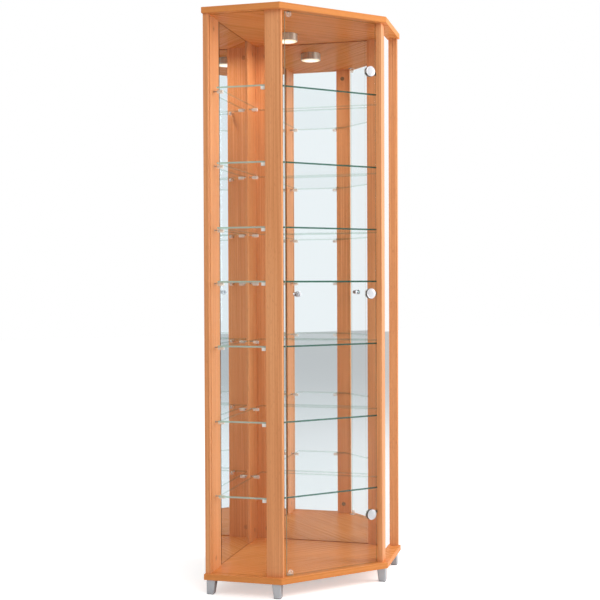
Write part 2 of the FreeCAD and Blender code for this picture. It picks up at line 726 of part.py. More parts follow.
lamp_y = dim("lamp_place")
lamp_screw_grip = dim("lamp_screw_length") - dim("lamp_wall")
lamp_screw_holes = [
    cylinder(f"lamp_screw_hole_{index}", way * dim("lamp_screw_place"), lamp_y, ceiling - 1,
             screw_hole, lamp_screw_grip + 1)
    for index, way in enumerate((-1, 1), start=1)]
cable_hole = fuse("cable_hole", [
    cylinder("cable_bore", 0, lamp_y, ceiling - 1,
             dim("cable_hole_radius") + dim("grommet_wall"), dim("panel_thickness") + 2),
    cylinder("cable_rim", 0, lamp_y,
             ceiling + dim("panel_thickness") - dim("grommet_rim_height"),
             dim("cable_hole_radius") + dim("grommet_rim") + dim("grommet_wall"),
             dim("grommet_rim_height") + 1)])
top_blank = panel_blank("top_blank", ceiling)
part("top_panel", cut("top_cut", top_blank,
                      [flipped("ceiling_tools", inside_tools),
                       flipped("high_stop_hole", low_stop_hole), cable_hole]
                      + lamp_screw_holes))

# --------------------------------------------------------------------------------------------
# Shelves
# --------------------------------------------------------------------------------------------
shelf_front_y = dim("shelf_front_offset") - half_depth
shelf_back_y = half_depth - dim("shelf_wall_offset").times_root_two()
shelf_side_x, shelf_side_y = side_point(dim("shelf_wall_offset"), dim("shelf_side_offset"))
shelf_corner_along = dim("shelf_post_offset") + (side_corner_y - shelf_front_y).times_root_two()
shelf_corner_x, _ = side_point(shelf_corner_along, dim("shelf_post_offset"))
notch_along = post_start - dim("shelf_post_gap")
notch_out_x, notch_out_y = side_point(notch_along, dim("shelf_side_offset"))
notch_in_x, notch_in_y = side_point(notch_along, dim("shelf_post_offset"))
shelf_outline = [
    (0, shelf_back_y),
    (shelf_side_x, shelf_side_y),
    (notch_out_x, notch_out_y),
    (notch_in_x, notch_in_y),
    (shelf_corner_x, shelf_front_y),
    (-shelf_corner_x, shelf_front_y),
    (-notch_in_x, notch_in_y),
    (-notch_out_x, notch_out_y),
    (-shelf_side_x, shelf_side_y),
]
for number, underside in enumerate(shelf_undersides, start=1):
    shelf = prism(f"shelf_{number}_glass", shelf_outline, dim("shelf_thickness"))
    part(f"shelf_{number}", place(shelf, 0, 0, underside))

# --------------------------------------------------------------------------------------------
# Shelf pins: a peg in the upright and a head with a flat for the glass
# --------------------------------------------------------------------------------------------


def shelf_pin(name, reach):
    """A pin along Z, its peg below zero and its flat on the -Y side."""
    body = turned(name + "_turned", [
        (0, -dim("pin_peg_length")),
        (dim("pin_peg_radius"), -dim("pin_peg_length")),
        (dim("pin_peg_radius"), 0),
        (dim("pin_radius"), 0),
        (dim("pin_radius"), reach),
        (0, reach),
    ])
    flat = box(name + "_flat", -dim("pin_radius") - 1, -dim("pin_radius") - 1, 0,
               2 * dim("pin_radius") + 2, dim("pin_flat") + 1, reach + 1)
    return cut(name + "_pin", body, [flat])


wall_pin = shelf_pin("wall", wall_pin_reach)
post_pin = shelf_pin("post", dim("post_pin_reach"))
doc.recompute()

LEFT_WALL = Placement(Vector(0, half_depth.number, 0), TURN_WALL)
LEFT_SIDE = Placement(Vector(-half_width.number, side_corner_y.number, 0), TURN_SIDE)


def pin_placements(frame, along, inward, swing=0):
    """Places of one upright's pins, swung about an upright axis, and of their twins."""
    placements = []
    for underside in shelf_undersides:
        spot = Vector(along.number, inward.number, (underside - pin_seat).number)
        pin_turn = Rotation(Vector(0, 0, 1), swing).multiply(AXIS_INTO_CABINET)
        left = frame.multiply(Placement(spot, pin_turn))
        placements.append(left)
        way = left.Rotation.multVec(Vector(0, 0, 1))
        turn = math.degrees(math.atan2(way.y, -way.x)) + 90
        right = Rotation(Vector(0, 0, 1), turn - 180).multiply(AXIS_INTO_CABINET)
        placements.append(Placement(Vector(-left.Base.x, left.Base.y, left.Base.z), right))
    return placements


part("wall_shelf_pins", copies(
    "wall_pins", wall_pin,
    pin_placements(LEFT_WALL, dim("corner_pin_place"), wall_face)
    + pin_placements(LEFT_WALL, side_pin_place, wall_face)))
part("post_shelf_pins", copies(
    "post_pins", post_pin,
    pin_placements(LEFT_SIDE, post_start, post_pin_row, 90)))

# --------------------------------------------------------------------------------------------
# Cam fittings, bolts and dowels between the uprights and the panels
# --------------------------------------------------------------------------------------------
fitting_blank = cylinder("fitting_blank", 0, 0, 0, dim("fitting_radius"), dim("fitting_depth"))
fitting_bore_depth = dim("fitting_depth") - dim("board_thickness").half()
slot_long = dim("fitting_slot_length")
fitting_slot = box("fitting_slot", -slot_long.half(), -dim("lock_slot_width").half(),
                   dim("fitting_depth") - dim("lock_slot_depth"),
                   slot_long, dim("lock_slot_width"), dim("lock_slot_depth") + 1)


def cam_fitting(name, thickness):
    """A cam disc along Z: key slot on top and a radial bore for its bolt on the -Y side."""
    depth = dim("fitting_depth") - thickness.half()
    bore = cylinder(name + "_bore", 0, 0, depth, dim("bolt_radius") + dim("fitting_play"),
                    dim("fitting_radius") + 1, Rotation(Vector(1, 0, 0), 90))
    return cut(name, fitting_blank, [bore, fitting_slot])


board_fitting = cam_fitting("board_fitting", dim("board_thickness"))
post_cam_fitting = cam_fitting("post_cam_fitting", dim("post_thickness"))
bolt = cylinder("bolt_master", 0, 0, -dim("bolt_grip"), dim("bolt_radius"),
                dim("bolt_grip") + dim("fitting_distance"))
dowel_master = turned("dowel_master", [
    (0, -dim("dowel_grip")),
    (dim("dowel_radius") - dim("dowel_arris"), -dim("dowel_grip")),
    (dim("dowel_radius"), dim("dowel_arris") - dim("dowel_grip")),
    (dim("dowel_radius"), dowel_in_board - dim("dowel_arris")),
    (dim("dowel_radius") - dim("dowel_arris"), dowel_in_board),
    (0, dowel_in_board),
])
doc.recompute()


def both_ends(frame, along, across, distance, low_turn, high_turn):
    """Places at the bottom and the top of an upright, on both sides of the cabinet."""
    placements = []
    for height, turn in ((floor_top.number + distance, low_turn),
                         (ceiling.number - distance, high_turn)):
        left = frame.multiply(Placement(Vector(along.number, across.number, height), turn))
        placements.append(left)
        way = left.Rotation.multVec(Vector(0, 0, 1))
        spot = Vector(-left.Base.x, left.Base.y, left.Base.z)
        if abs(way.z) > 0.5:
            placements.append(Placement(spot, turn))
            continue
        yaw = math.degrees(math.atan2(way.y, -way.x)) - 90
        placements.append(Placement(spot, Rotation(Vector(0, 0, 1), yaw).multiply(turn)))
    return placements


UPRIGHT = Rotation()
UPSIDE_DOWN = Rotation(Vector(1, 0, 0), 180)
CAM_LOW = AXIS_INTO_CABINET.multiply(Rotation(Vector(0, 0, 1), 180))
CAM_HIGH = AXIS_INTO_CABINET
cam_distance = dim("fitting_distance").number
board_cams = (
    both_ends(LEFT_WALL, dim("corner_fitting_place"), wall_face - dim("fitting_depth"),
              cam_distance, CAM_LOW, CAM_HIGH)
    + both_ends(LEFT_WALL, side_fitting, wall_face - dim("fitting_depth"),
                cam_distance, CAM_LOW, CAM_HIGH))
post_cams = both_ends(LEFT_SIDE, post_fitting, post_face - dim("fitting_depth"),
                      cam_distance, CAM_LOW, CAM_HIGH)
upright_spots = [
    (LEFT_WALL, dim("corner_fitting_place"), dim("corner_dowel_place"), board_middle),
    (LEFT_WALL, side_fitting, side_dowel, board_middle),
    (LEFT_SIDE, post_fitting, post_dowel, post_middle),
]
bolt_placements = []
dowel_placements = []
for frame, fitting_along, dowel_along, middle in upright_spots:
    bolt_placements += both_ends(frame, fitting_along, middle, 0.0, UPRIGHT, UPSIDE_DOWN)
    dowel_placements += both_ends(frame, dowel_along, middle, 0.0, UPRIGHT, UPSIDE_DOWN)
part("board_cam_fittings", copies("board_cams", board_fitting, board_cams))
part("post_cam_fittings", copies("post_cams", post_cam_fitting, post_cams))
part("cam_bolts", copies("bolts", bolt, bolt_placements))
part("dowels", copies("wood_dowels", dowel_master, dowel_placements))

# --------------------------------------------------------------------------------------------
# Feet
# --------------------------------------------------------------------------------------------


def foot_section(size, inset):
    """A square with bevelled corners whose outer faces stay where they are as it grows."""
    low = inset - dim("foot_bottom").half()
    high = low + size - 2 * inset
    bevel = dim("foot_corner")
    return [
        (low + bevel, low), (high - bevel, low), (high, low + bevel), (high, high - bevel),
        (high - bevel, high), (low + bevel, high), (low, high - bevel), (low, low + bevel),
    ]


foot_body = doc.addObject("PartDesign::Body", "foot_body")
sole_arris = dim("foot_sole_arris")
sole_sketch = outline(foot_body, "foot_sole", foot_section(dim("foot_bottom"), sole_arris))
rise_sketch = outline(foot_body, "foot_rise", foot_section(dim("foot_bottom"), Size.of(0)),
                      offset=sole_arris)
head_sketch = outline(foot_body, "foot_head", foot_section(dim("foot_top"), Size.of(0)),
                      offset=dim("foot_height"))
foot_loft = foot_body.newObject("PartDesign::AdditiveLoft", "foot_loft")
foot_loft.Profile = sole_sketch
foot_loft.Sections = [rise_sketch, head_sketch]
foot_loft.Ruled = True
foot_body.Tip = foot_loft
foot_bore = cylinder("foot_bore", 0, 0, -1, dim("foot_bore_radius"),
                     dim("foot_height") - dim("foot_roof") + 1)
foot_pilot = cylinder("foot_pilot", 0, 0, 0, dim("foot_screw_radius") + dim("screw_play"),
                      dim("foot_height") + 1)
foot_master = cut("foot_master", foot_body, [fuse("foot_bores", [foot_bore, foot_pilot])])
doc.recompute()


def left_foot(name, x, y, angle):
    """A foot whose two upright faces look away from the cabinet."""
    feature = gather(name, [foot_master])
    return place(feature, x, y, 0, Rotation(Vector(0, 0, 1), angle))


left_wall_foot = part("left_wall_foot", left_foot("left_wall_foot_place",
                                                  wall_foot_x, wall_foot_y, -45))
left_front_foot = part("left_front_foot", left_foot("left_front_foot_place",
                                                    front_foot_x, front_foot_y, 45))
part("right_front_foot", mirrored("right_front_foot_mirror", left_front_foot))
part("right_wall_foot", mirrored("right_wall_foot_mirror", left_wall_foot))
part("rear_foot", left_foot("rear_foot_place", Size.of(0), rear_foot_y, 225))

foot_screw = turned("foot_screw_master", [
    (0, -dim("foot_screw_head_height")),
    (dim("foot_screw_head_radius") - 1, -dim("foot_screw_head_height")),
    (dim("foot_screw_head_radius"), 1 - dim("foot_screw_head_height")),
    (dim("foot_screw_head_radius"), 0),
    (dim("foot_screw_radius"), 0),
    (dim("foot_screw_radius"), dim("foot_roof") + dim("foot_screw_grip") - 1),
    (0, dim("foot_roof") + dim("foot_screw_grip")),
])
doc.recompute()
foot_seat = (dim("foot_height") - dim("foot_roof")).number
part("foot_screws", copies("foot_screw_set", foot_screw, [
    Placement(Vector(x.number, y.number, foot_seat), Rotation()) for x, y in foot_places]))

# --------------------------------------------------------------------------------------------
# Door and its hinges
# --------------------------------------------------------------------------------------------
axis_x = door_edge - dim("hinge_axis_inset")
axis_y = door_back + dim("hinge_axis_depth")
bore_x = door_edge - dim("hinge_bore_inset")
hinge_heights = {
    "lower": floor_top + dim("hinge_end_distance"),
    "middle": middle_height,
    "upper": ceiling - dim("hinge_end_distance"),
}
lock_x = dim("lock_edge_distance") - door_edge
door_slab = box("door_slab", -door_edge, door_front, door_bottom,
                2 * door_edge, dim("door_thickness"), door_height)
door_bores = [
    cylinder(f"{name}_bore", bore_x, door_front - 1, height,
             dim("hinge_bore_radius"), dim("door_thickness") + 2, AXIS_INTO_CABINET)
    for name, height in hinge_heights.items()]
door_bores.append(cylinder(
    "lock_bore", lock_x, door_front - 1, middle_height,
    dim("lock_barrel_radius") + dim("lock_bore_play"), dim("door_thickness") + 2,
    AXIS_INTO_CABINET))
part("door_glass", cut("door_cut", door_slab, door_bores))

washer = dim("hinge_washer_thickness")
cap_inner = dim("hinge_stud_radius") + dim("hinge_sleeve_play")
sleeve = dim("hinge_bore_radius") - dim("hinge_sleeve_play")
round_edge = dim("hinge_cap_round")
cap_profile = [
    (0, dim("hinge_stud_height") + dim("hinge_pin_play")),
    (cap_inner, dim("hinge_stud_height") + dim("hinge_pin_play")),
    (cap_inner, washer),
    (dim("hinge_cap_radius"), washer),
    (dim("hinge_cap_radius"), dim("hinge_cap_height") - round_edge),
    (dim("hinge_cap_radius") - 0.3 * round_edge, dim("hinge_cap_height") - 0.3 * round_edge),
    (dim("hinge_cap_radius") - round_edge, dim("hinge_cap_height")),
    (0, dim("hinge_cap_height")),
]
cap_master = turned("cap_master", cap_profile)
flange_back = washer + dim("hinge_flange_thickness")
knuckle_outer = dim("knuckle_half") + dim("knuckle_gap") + dim("knuckle_length")
post_corner_x, post_corner_y = side_point(post_end, post_face)


def hinge_leaf(name, height):
    """The half of a hinge that grips the glass: stud, sleeve, flange, boss and two knuckles.

    A notch between the knuckles lets the arm lie flat behind the glass when the door is open.
    """
    axis_depth = dim("hinge_axis_depth")
    pieces = [
        cylinder(name + "_stud", bore_x, door_front - dim("hinge_stud_height"), height,
                 dim("hinge_stud_radius"), dim("hinge_stud_height") + 1, AXIS_INTO_CABINET),
        cylinder(name + "_sleeve", bore_x, door_front, height,
                 sleeve, dim("door_thickness") + washer, AXIS_INTO_CABINET),
        cylinder(name + "_flange", bore_x, door_back + washer, height,
                 dim("hinge_flange_radius"), dim("hinge_flange_thickness"), AXIS_INTO_CABINET),
        cylinder(name + "_boss", bore_x, door_back + washer, height,
                 dim("hinge_boss_radius"), axis_depth - washer, AXIS_INTO_CABINET),
    ]
    for index, foot in enumerate((-knuckle_outer, dim("knuckle_half") + dim("knuckle_gap"))):
        pieces.append(box(
            f"{name}_lug_{index}", bore_x, door_back + washer, height + foot,
            axis_x - bore_x, axis_depth - washer + 0.4 * dim("knuckle_radius"),
            dim("knuckle_length")))
        pieces.append(cylinder(
            f"{name}_knuckle_{index}", axis_x, axis_y, height + foot,
            dim("knuckle_radius"), dim("knuckle_length")))
    body = fuse(name + "_body", pieces)
    pin_hole = cylinder(name + "_pin_hole", axis_x, axis_y, height - knuckle_outer - 1,
                        dim("hinge_pin_radius"), 2 * knuckle_outer + 2)
    notch_half = dim("knuckle_half") + dim("knuckle_gap")
    notch_start = axis_x - dim("knuckle_radius") - dim("knuckle_clearance")
    notch = box(name + "_notch", notch_start, door_back, height - notch_half,
                door_edge - notch_start, 2 * axis_depth, 2 * notch_half)
    return cut(name, body, [fuse(name + "_tools", [pin_hole, notch])])


def hinge_arm_outline():
    """The arm from the hinge axis behind the glass to its plate on the right post."""
    half_arm = dim("arm_width").half()
    bar_low = axis_y + dim("arm_reach") - half_arm
    bar_high = axis_y + dim("arm_reach") + half_arm
    plate = dim("arm_plate_thickness")
    # The right post's inner face runs at 45 degrees from its inner corner.
    corner_x = -post_corner_x
    corner_y = post_corner_y
    start = dim("arm_plate_start").over_root_two()
    stop = (dim("arm_plate_start") + dim("arm_plate_length")).over_root_two()
    lift = plate.over_root_two()
    face_gap = corner_x - corner_y
    skin = face_gap - plate.times_root_two()
    return [
        (axis_x - half_arm, axis_y),
        (axis_x + half_arm, axis_y),
        (axis_x + half_arm, bar_low),
        (skin + bar_low, bar_low),
        (corner_x + start - lift, corner_y + start + lift),
        (corner_x + start, corner_y + start),
        (corner_x + stop, corner_y + stop),
        (corner_x + stop - lift, corner_y + stop + lift),
        (skin + bar_high, bar_high),
        (axis_x - half_arm, bar_high),
    ]


def plate_outline():
    """The plate of the arm against the right post's inner face."""
    start = dim("arm_plate_start").over_root_two()
    stop = (dim("arm_plate_start") + dim("arm_plate_length")).over_root_two()
    lift = dim("arm_plate_thickness").over_root_two()
    corner_x = -post_corner_x
    return [
        (corner_x + start, post_corner_y + start),
        (corner_x + stop, post_corner_y + stop),
        (corner_x + stop - lift, post_corner_y + stop + lift),
        (corner_x + start - lift, post_corner_y + start + lift),
    ]


screw_along = (dim("arm_plate_start") + dim("arm_plate_length").half()).over_root_two()
screw_spot_x = -post_corner_x + screw_along
screw_spot_y = post_corner_y + screw_along
plate_lift = dim("arm_plate_thickness").over_root_two()
# From the plate into the right post: along +X and -Y.
INTO_RIGHT_POST = Rotation(Vector(0, 0, 1), Vector(1, -1, 0))
screw_head_depth = dim("screw_head_height")
arm_bar = prism("arm_bar", hinge_arm_outline(), 2 * dim("knuckle_half"))
arm_plate = prism("arm_plate", plate_outline(), 2 * dim("arm_plate_half"))


def hinge_arm(name, height):
    """The half of a hinge on the post, with its knuckle and countersunk holes."""
    bar = place(gather(name + "_bar", [arm_bar]), 0, 0, height - dim("knuckle_half"))
    plate = place(gather(name + "_plate", [arm_plate]), 0, 0, height - dim("arm_plate_half"))
    knuckle = cylinder(name + "_knuckle", axis_x, axis_y, height - dim("knuckle_half"),
                       dim("knuckle_radius"), 2 * dim("knuckle_half"))
    body = fuse(name + "_body", [bar, plate, knuckle])
    tools = [cylinder(name + "_eye", axis_x, axis_y, height - dim("knuckle_half") - 1,
                      dim("hinge_pin_radius") + dim("hinge_pin_play"),
                      2 * dim("knuckle_half") + 2)]
    for index, way in enumerate((-1, 1)):
        spot = (screw_spot_x - plate_lift, screw_spot_y + plate_lift,
                height + way * dim("hinge_screw_spread"))
        shank = cylinder(f"{name}_shank_{index}", *spot, screw_hole,
                         dim("arm_plate_thickness") + 1, INTO_RIGHT_POST)
        sink = cone(f"{name}_sink_{index}", *spot, dim("screw_head_radius") + dim("screw_play"),
                    screw_hole, screw_head_depth, INTO_RIGHT_POST)
        tools.append(fuse(f"{name}_screw_{index}", [shank, sink]))
    return cut(name, body, tools)


for name, height in hinge_heights.items():
    part(f"{name}_hinge_leaf", hinge_leaf(f"{name}_leaf", height))
    part(f"{name}_hinge_arm", hinge_arm(f"{name}_arm", height))

screw_core = dim("hinge_screw_length")
countersunk = turned("countersunk_master", [
    (0, 0),
    (dim("screw_head_radius"), 0),
    (dim("screw_radius"), screw_head_depth),
    (dim("screw_radius"), screw_core - dim("screw_tip")),
    (0, screw_core),
])
doc.recompute()

FACING_DOOR = Rotation(Vector(0, 0, 1), Vector(0, -1, 0))
for name, height in hinge_heights.items():
    part(f"{name}_hinge_cap", copies(f"{name}_cap", cap_master, [
        Placement(Vector(bore_x.number, door_front.number, height.number), FACING_DOOR)]))

washer_ring = turned("washer_ring", [
    (sleeve + dim("hinge_sleeve_play"), 0),
    (dim("hinge_flange_radius"), 0),
    (dim("hinge_flange_radius"), washer),
    (sleeve + dim("hinge_sleeve_play"), washer),
])
pin_master = turned("hinge_pin_master", [
    (0, -knuckle_outer),
    (dim("hinge_pin_radius"), -knuckle_outer),
    (dim("hinge_pin_radius"), knuckle_outer),
    (dim("hinge_pin_radius") + dim("pin_head_rim"), knuckle_outer),
    (dim("hinge_pin_radius") + dim("pin_head_rim"), knuckle_outer + dim("pin_head_height")),
    (0, knuckle_outer + dim("pin_head_height")),
])
doc.recompute()
ring_places = []
screw_places = []
post_screw_holes = []
for name, height in hinge_heights.items():
    ring_places.append(Placement(
        Vector(bore_x.number, door_front.number, height.number), FACING_DOOR))
    ring_places.append(Placement(
        Vector(bore_x.number, door_back.number, height.number), AXIS_INTO_CABINET))
    for index, way in enumerate((-1, 1)):
        level = height + way * dim("hinge_screw_spread")
        screw_places.append(Placement(
            Vector((screw_spot_x - plate_lift).number, (screw_spot_y + plate_lift).number,
                   level.number), INTO_RIGHT_POST))
        post_screw_holes.append(cylinder(
            f"{name}_post_hole_{index}", screw_spot_x - plate_lift, screw_spot_y + plate_lift,
            level, screw_hole, screw_core + 0.5, INTO_RIGHT_POST))
part("hinge_washers", copies("hinge_washer_set", washer_ring, ring_places))
part("hinge_pins", copies("hinge_pin_set", pin_master, [
    Placement(Vector(axis_x.number, axis_y.number, height.number), Rotation())
    for height in hinge_heights.values()]))
part("hinge_screws", copies("hinge_screw_set", countersunk, screw_places))
part("right_front_post", cut("right_post_cut", right_post_blank, post_screw_holes))

# --------------------------------------------------------------------------------------------
# Cam lock at the free edge of the door
# --------------------------------------------------------------------------------------------
plate_front = door_front - dim("lock_plate_thickness")
plate_shoulder = plate_front + dim("lock_plate_round")
nut_back = door_back + dim("lock_nut_thickness")
barrel_back = door_back + dim("lock_barrel_length")
cam_front = barrel_back + dim("cam_gap")
cam_back = cam_front + dim("cam_thickness")
plug_bore = dim("lock_plug_radius") + dim("lock_plug_play")
lock_blank = fuse("lock_body_blank", [
    cone("lock_plate_edge", lock_x, plate_front, middle_height,
         dim("lock_plate_radius") - dim("lock_plate_round"), dim("lock_plate_radius"),
         dim("lock_plate_round"), AXIS_INTO_CABINET),
    cylinder("lock_plate", lock_x, plate_shoulder, middle_height, dim("lock_plate_radius"),
             door_front - plate_shoulder, AXIS_INTO_CABINET),
    cylinder("lock_barrel", lock_x, plate_shoulder, middle_height, dim("lock_barrel_radius"),
             barrel_back - plate_shoulder, AXIS_INTO_CABINET),
])
part("lock_body", cut("lock_body_cut", lock_blank, [cylinder(
    "plug_bore", lock_x, plate_front - 1, middle_height, plug_bore,
    barrel_back - plate_front + 2, AXIS_INTO_CABINET)]))
part("lock_nut", cut("lock_nut_cut", cylinder(
    "lock_nut_blank", lock_x, door_back, middle_height, dim("lock_nut_radius"),
    dim("lock_nut_thickness"), AXIS_INTO_CABINET), [cylinder(
        "lock_nut_bore", lock_x, door_back - 1, middle_height,
        dim("lock_barrel_radius") + dim("lock_plug_play"), dim("lock_nut_thickness") + 2,
        AXIS_INTO_CABINET)]))

plug_front = plate_front - dim("lock_plug_proud")
plug_blank = fuse("plug_blank", [
    cylinder("plug_round", lock_x, plug_front, middle_height, dim("lock_plug_radius"),
             cam_front - plug_front, AXIS_INTO_CABINET),
    box("plug_neck", lock_x - dim("cam_neck_radius"), cam_front - 1,
        middle_height - dim("cam_neck_radius"), 2 * dim("cam_neck_radius"),
        dim("cam_thickness") + 1, 2 * dim("cam_neck_radius")),
    cylinder("plug_rim", lock_x, plug_front - dim("lock_plug_rim_height"), middle_height,
             dim("lock_plug_radius") + dim("lock_plug_rim"), dim("lock_plug_rim_height"),
             AXIS_INTO_CABINET),
])
key_slot = box("key_slot", lock_x - dim("lock_slot_width").half(), plug_front - 1,
               middle_height - dim("lock_slot_length").half(), dim("lock_slot_width"),
               dim("lock_slot_depth") + 1, dim("lock_slot_length"))
part("lock_plug", cut("lock_plug_cut", plug_blank, [key_slot]))

neck_hole = dim("cam_neck_radius") + dim("cam_neck_play")
cam_blank = fuse("cam_blank", [
    cylinder("cam_round", lock_x, cam_front, middle_height, dim("cam_width").half(),
             dim("cam_thickness"), AXIS_INTO_CABINET),
    box("cam_tongue", lock_x, cam_front, middle_height - dim("cam_width").half(),
        dim("cam_length"), dim("cam_thickness"), dim("cam_width")),
])
part("lock_cam", cut("lock_cam_cut", cam_blank, [box(
    "cam_hole", lock_x - neck_hole, cam_front - 1, middle_height - neck_hole,
    2 * neck_hole, dim("cam_thickness") + 2, 2 * neck_hole)]))
part("cam_screw", cylinder(
    "cam_screw_disc", lock_x, cam_back, middle_height, dim("cam_screw_radius"),
    dim("cam_screw_thickness"), AXIS_INTO_CABINET))

# --------------------------------------------------------------------------------------------
# Door stops behind the free edge of the door
# --------------------------------------------------------------------------------------------
stop_body = fuse("stop_body", [
    cylinder("stop_disc", stop_x, stop_front, floor_top + dim("stop_radius"),
             dim("stop_radius"), dim("stop_thickness"), AXIS_INTO_CABINET),
    box("stop_base", stop_x - dim("stop_radius"), stop_front, floor_top,
        2 * dim("stop_radius"), dim("stop_base_depth"), dim("stop_base_thickness")),
])
stop_hole = fuse("stop_hole", [
    cylinder("stop_shank_hole", stop_x, stop_screw_y, floor_top - 1, screw_hole,
             dim("stop_base_thickness") + 2),
    cone("stop_sink", stop_x, stop_screw_y,
         floor_top + dim("stop_base_thickness") - screw_head_depth, screw_hole,
         dim("screw_head_radius") + dim("screw_play"), screw_head_depth),
])
lower_stop = part("lower_door_stop", cut("lower_stop_cut", stop_body, [stop_hole]))
part("upper_door_stop", flipped("upper_stop_flip", lower_stop))
stop_screw = turned("stop_screw_master", [
    (0, 0),
    (dim("screw_head_radius"), 0),
    (dim("screw_radius"), screw_head_depth),
    (dim("screw_radius"), dim("stop_screw_length") - dim("screw_tip")),
    (0, dim("stop_screw_length")),
])
doc.recompute()
stop_screw_head = floor_top + dim("stop_base_thickness")
high_screw_head = ceiling - dim("stop_base_thickness")
part("stop_screws", copies("stop_screw_set", stop_screw, [
    Placement(Vector(stop_x.number, stop_screw_y.number, stop_screw_head.number), UPSIDE_DOWN),
    Placement(Vector(stop_x.number, stop_screw_y.number, high_screw_head.number), UPRIGHT)]))

# --------------------------------------------------------------------------------------------
# Lamp under the top panel
# --------------------------------------------------------------------------------------------
housing_inner = dim("lamp_radius") - dim("lamp_wall")
lens_radius = housing_inner - dim("lens_play")
lens_top = dim("lamp_height") - dim("lens_dome") - dim("lens_thickness")
housing_rim = dim("lamp_height") - dim("lens_dome")
housing_body = turned("housing_body", [
    (dim("cable_hole_radius"), 0),
    (dim("lamp_radius"), 0),
    (dim("lamp_radius"), -housing_rim),
    (housing_inner, -housing_rim),
    (housing_inner, -lens_top),
    (housing_inner - dim("lamp_wall"), -lens_top),
    (housing_inner - dim("lamp_wall"), -dim("lamp_wall")),
    (dim("cable_hole_radius"), -dim("lamp_wall")),
])
housing = place(housing_body, 0, lamp_y, ceiling)
part("lamp_housing", cut("housing_cut", housing, [
    cylinder(f"housing_screw_hole_{index}", way * dim("lamp_screw_place"), lamp_y,
             ceiling - dim("lamp_wall") - 1, screw_hole, dim("lamp_wall") + 2)
    for index, way in enumerate((-1, 1))]))
lens_body = turned("lens_body", [
    (0, -lens_top),
    (lens_radius, -lens_top),
    (lens_radius, -housing_rim),
    (lens_radius - 2 * dim("lens_dome"), -dim("lamp_height")),
    (0, -dim("lamp_height")),
])
part("lamp_lens", place(lens_body, 0, lamp_y, ceiling))
holder_bottom = dim("lamp_wall") + dim("holder_height")
part("lamp_holder", cut("lamp_holder_cut", cylinder(
    "holder_blank", 0, lamp_y, ceiling - holder_bottom, dim("holder_radius"),
    dim("holder_height")), [cylinder(
        "bulb_socket", 0, lamp_y, ceiling - holder_bottom - 1,
        dim("bulb_radius") + dim("lens_play"), dim("holder_height").half() + 1)]))
bulb_top = holder_bottom - dim("holder_height").half()
part("lamp_bulb", place(turned("bulb_body", [
    (0, -bulb_top),
    (dim("bulb_radius"), -bulb_top),
    (dim("bulb_radius"), -bulb_top - dim("bulb_length")),
    (dim("bulb_radius") - dim("bulb_shoulder"), -bulb_top - dim("bulb_length") - dim("bulb_tip")),
    (0, -bulb_top - dim("bulb_length") - dim("bulb_tip")),
]), 0, lamp_y, ceiling))
pan_screw = turned("lamp_screw_master", [
    (0, -dim("screw_head_height")),
    (dim("screw_head_radius") - 0.5, -dim("screw_head_height")),
    (dim("screw_head_radius"), 0.5 - dim("screw_head_height")),
    (dim("screw_head_radius"), 0),
    (dim("screw_radius"), 0),
    (dim("screw_radius"), dim("lamp_screw_length") - dim("screw_tip")),
    (0, dim("lamp_screw_length")),
])
doc.recompute()
part("lamp_screws", copies("lamp_screw_set", pan_screw, [
    Placement(Vector(way * dim("lamp_screw_place").number, lamp_y.number,
                     (ceiling - dim("lamp_wall")).number), Rotation())
    for way in (-1, 1)]))
grommet_body = turned("grommet_body", [
    (dim("cable_hole_radius"), 0),
    (dim("cable_hole_radius") + dim("grommet_wall"), 0),
    (dim("cable_hole_radius") + dim("grommet_wall"),
     dim("panel_thickness") - dim("grommet_rim_height")),
    (dim("cable_hole_radius") + dim("grommet_wall") + dim("grommet_rim"),
     dim("panel_thickness") - dim("grommet_rim_height")),
    (dim("cable_hole_radius") + dim("grommet_wall") + dim("grommet_rim"),
     dim("panel_thickness")),
    (dim("cable_hole_radius"), dim("panel_thickness")),
])
part("cable_grommet", place(grommet_body, 0, lamp_y, ceiling))

# --------------------------------------------------------------------------------------------
# Check and write
# --------------------------------------------------------------------------------------------
doc.recompute()
for feature in doc.Objects:
    if "Invalid" in feature.State or "Error" in feature.State:
        raise RuntimeError(f"{feature.Name} failed: {feature.State}")
for feature in parts:
    shape = feature.Shape
    if shape.isNull() or not shape.isValid() or not shape.Solids:
        raise RuntimeError(f"{feature.Label} has no valid shape")

os.makedirs("parts", exist_ok=True)
for feature in parts:
    feature.Shape.exportStep(f"parts/{feature.Label}.step")
    print(f"{feature.Label}: {len(feature.Shape.Solids)} solids, {feature.Shape.Volume:.1f} mm3")
print(f"{len(parts)} parts")
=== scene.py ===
"""Corner curio cabinet: the finishes, the detailed fittings, the light and the camera.

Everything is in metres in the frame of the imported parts: the doors face -Y, the back corner is at +Y
and the floor is at height 0.
"""

import logging
import math
from collections.abc import Callable, Sequence
from dataclasses import dataclass, replace
from enum import Enum

import bpy
from mathutils import Matrix, Vector


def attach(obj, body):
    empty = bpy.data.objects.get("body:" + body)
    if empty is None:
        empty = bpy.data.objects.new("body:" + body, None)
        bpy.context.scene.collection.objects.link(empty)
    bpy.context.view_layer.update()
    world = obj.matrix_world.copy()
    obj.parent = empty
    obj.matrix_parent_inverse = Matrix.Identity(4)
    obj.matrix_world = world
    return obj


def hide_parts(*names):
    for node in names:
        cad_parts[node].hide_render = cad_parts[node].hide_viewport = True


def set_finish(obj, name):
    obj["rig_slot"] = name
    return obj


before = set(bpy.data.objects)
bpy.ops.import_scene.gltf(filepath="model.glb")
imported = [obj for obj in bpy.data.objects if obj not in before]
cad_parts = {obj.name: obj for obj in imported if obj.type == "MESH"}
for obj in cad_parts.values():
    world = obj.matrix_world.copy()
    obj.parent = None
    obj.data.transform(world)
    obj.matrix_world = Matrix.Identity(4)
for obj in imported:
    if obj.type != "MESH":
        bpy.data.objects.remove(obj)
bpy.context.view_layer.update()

MM = 0.001
LOG = logging.getLogger("cabinet")
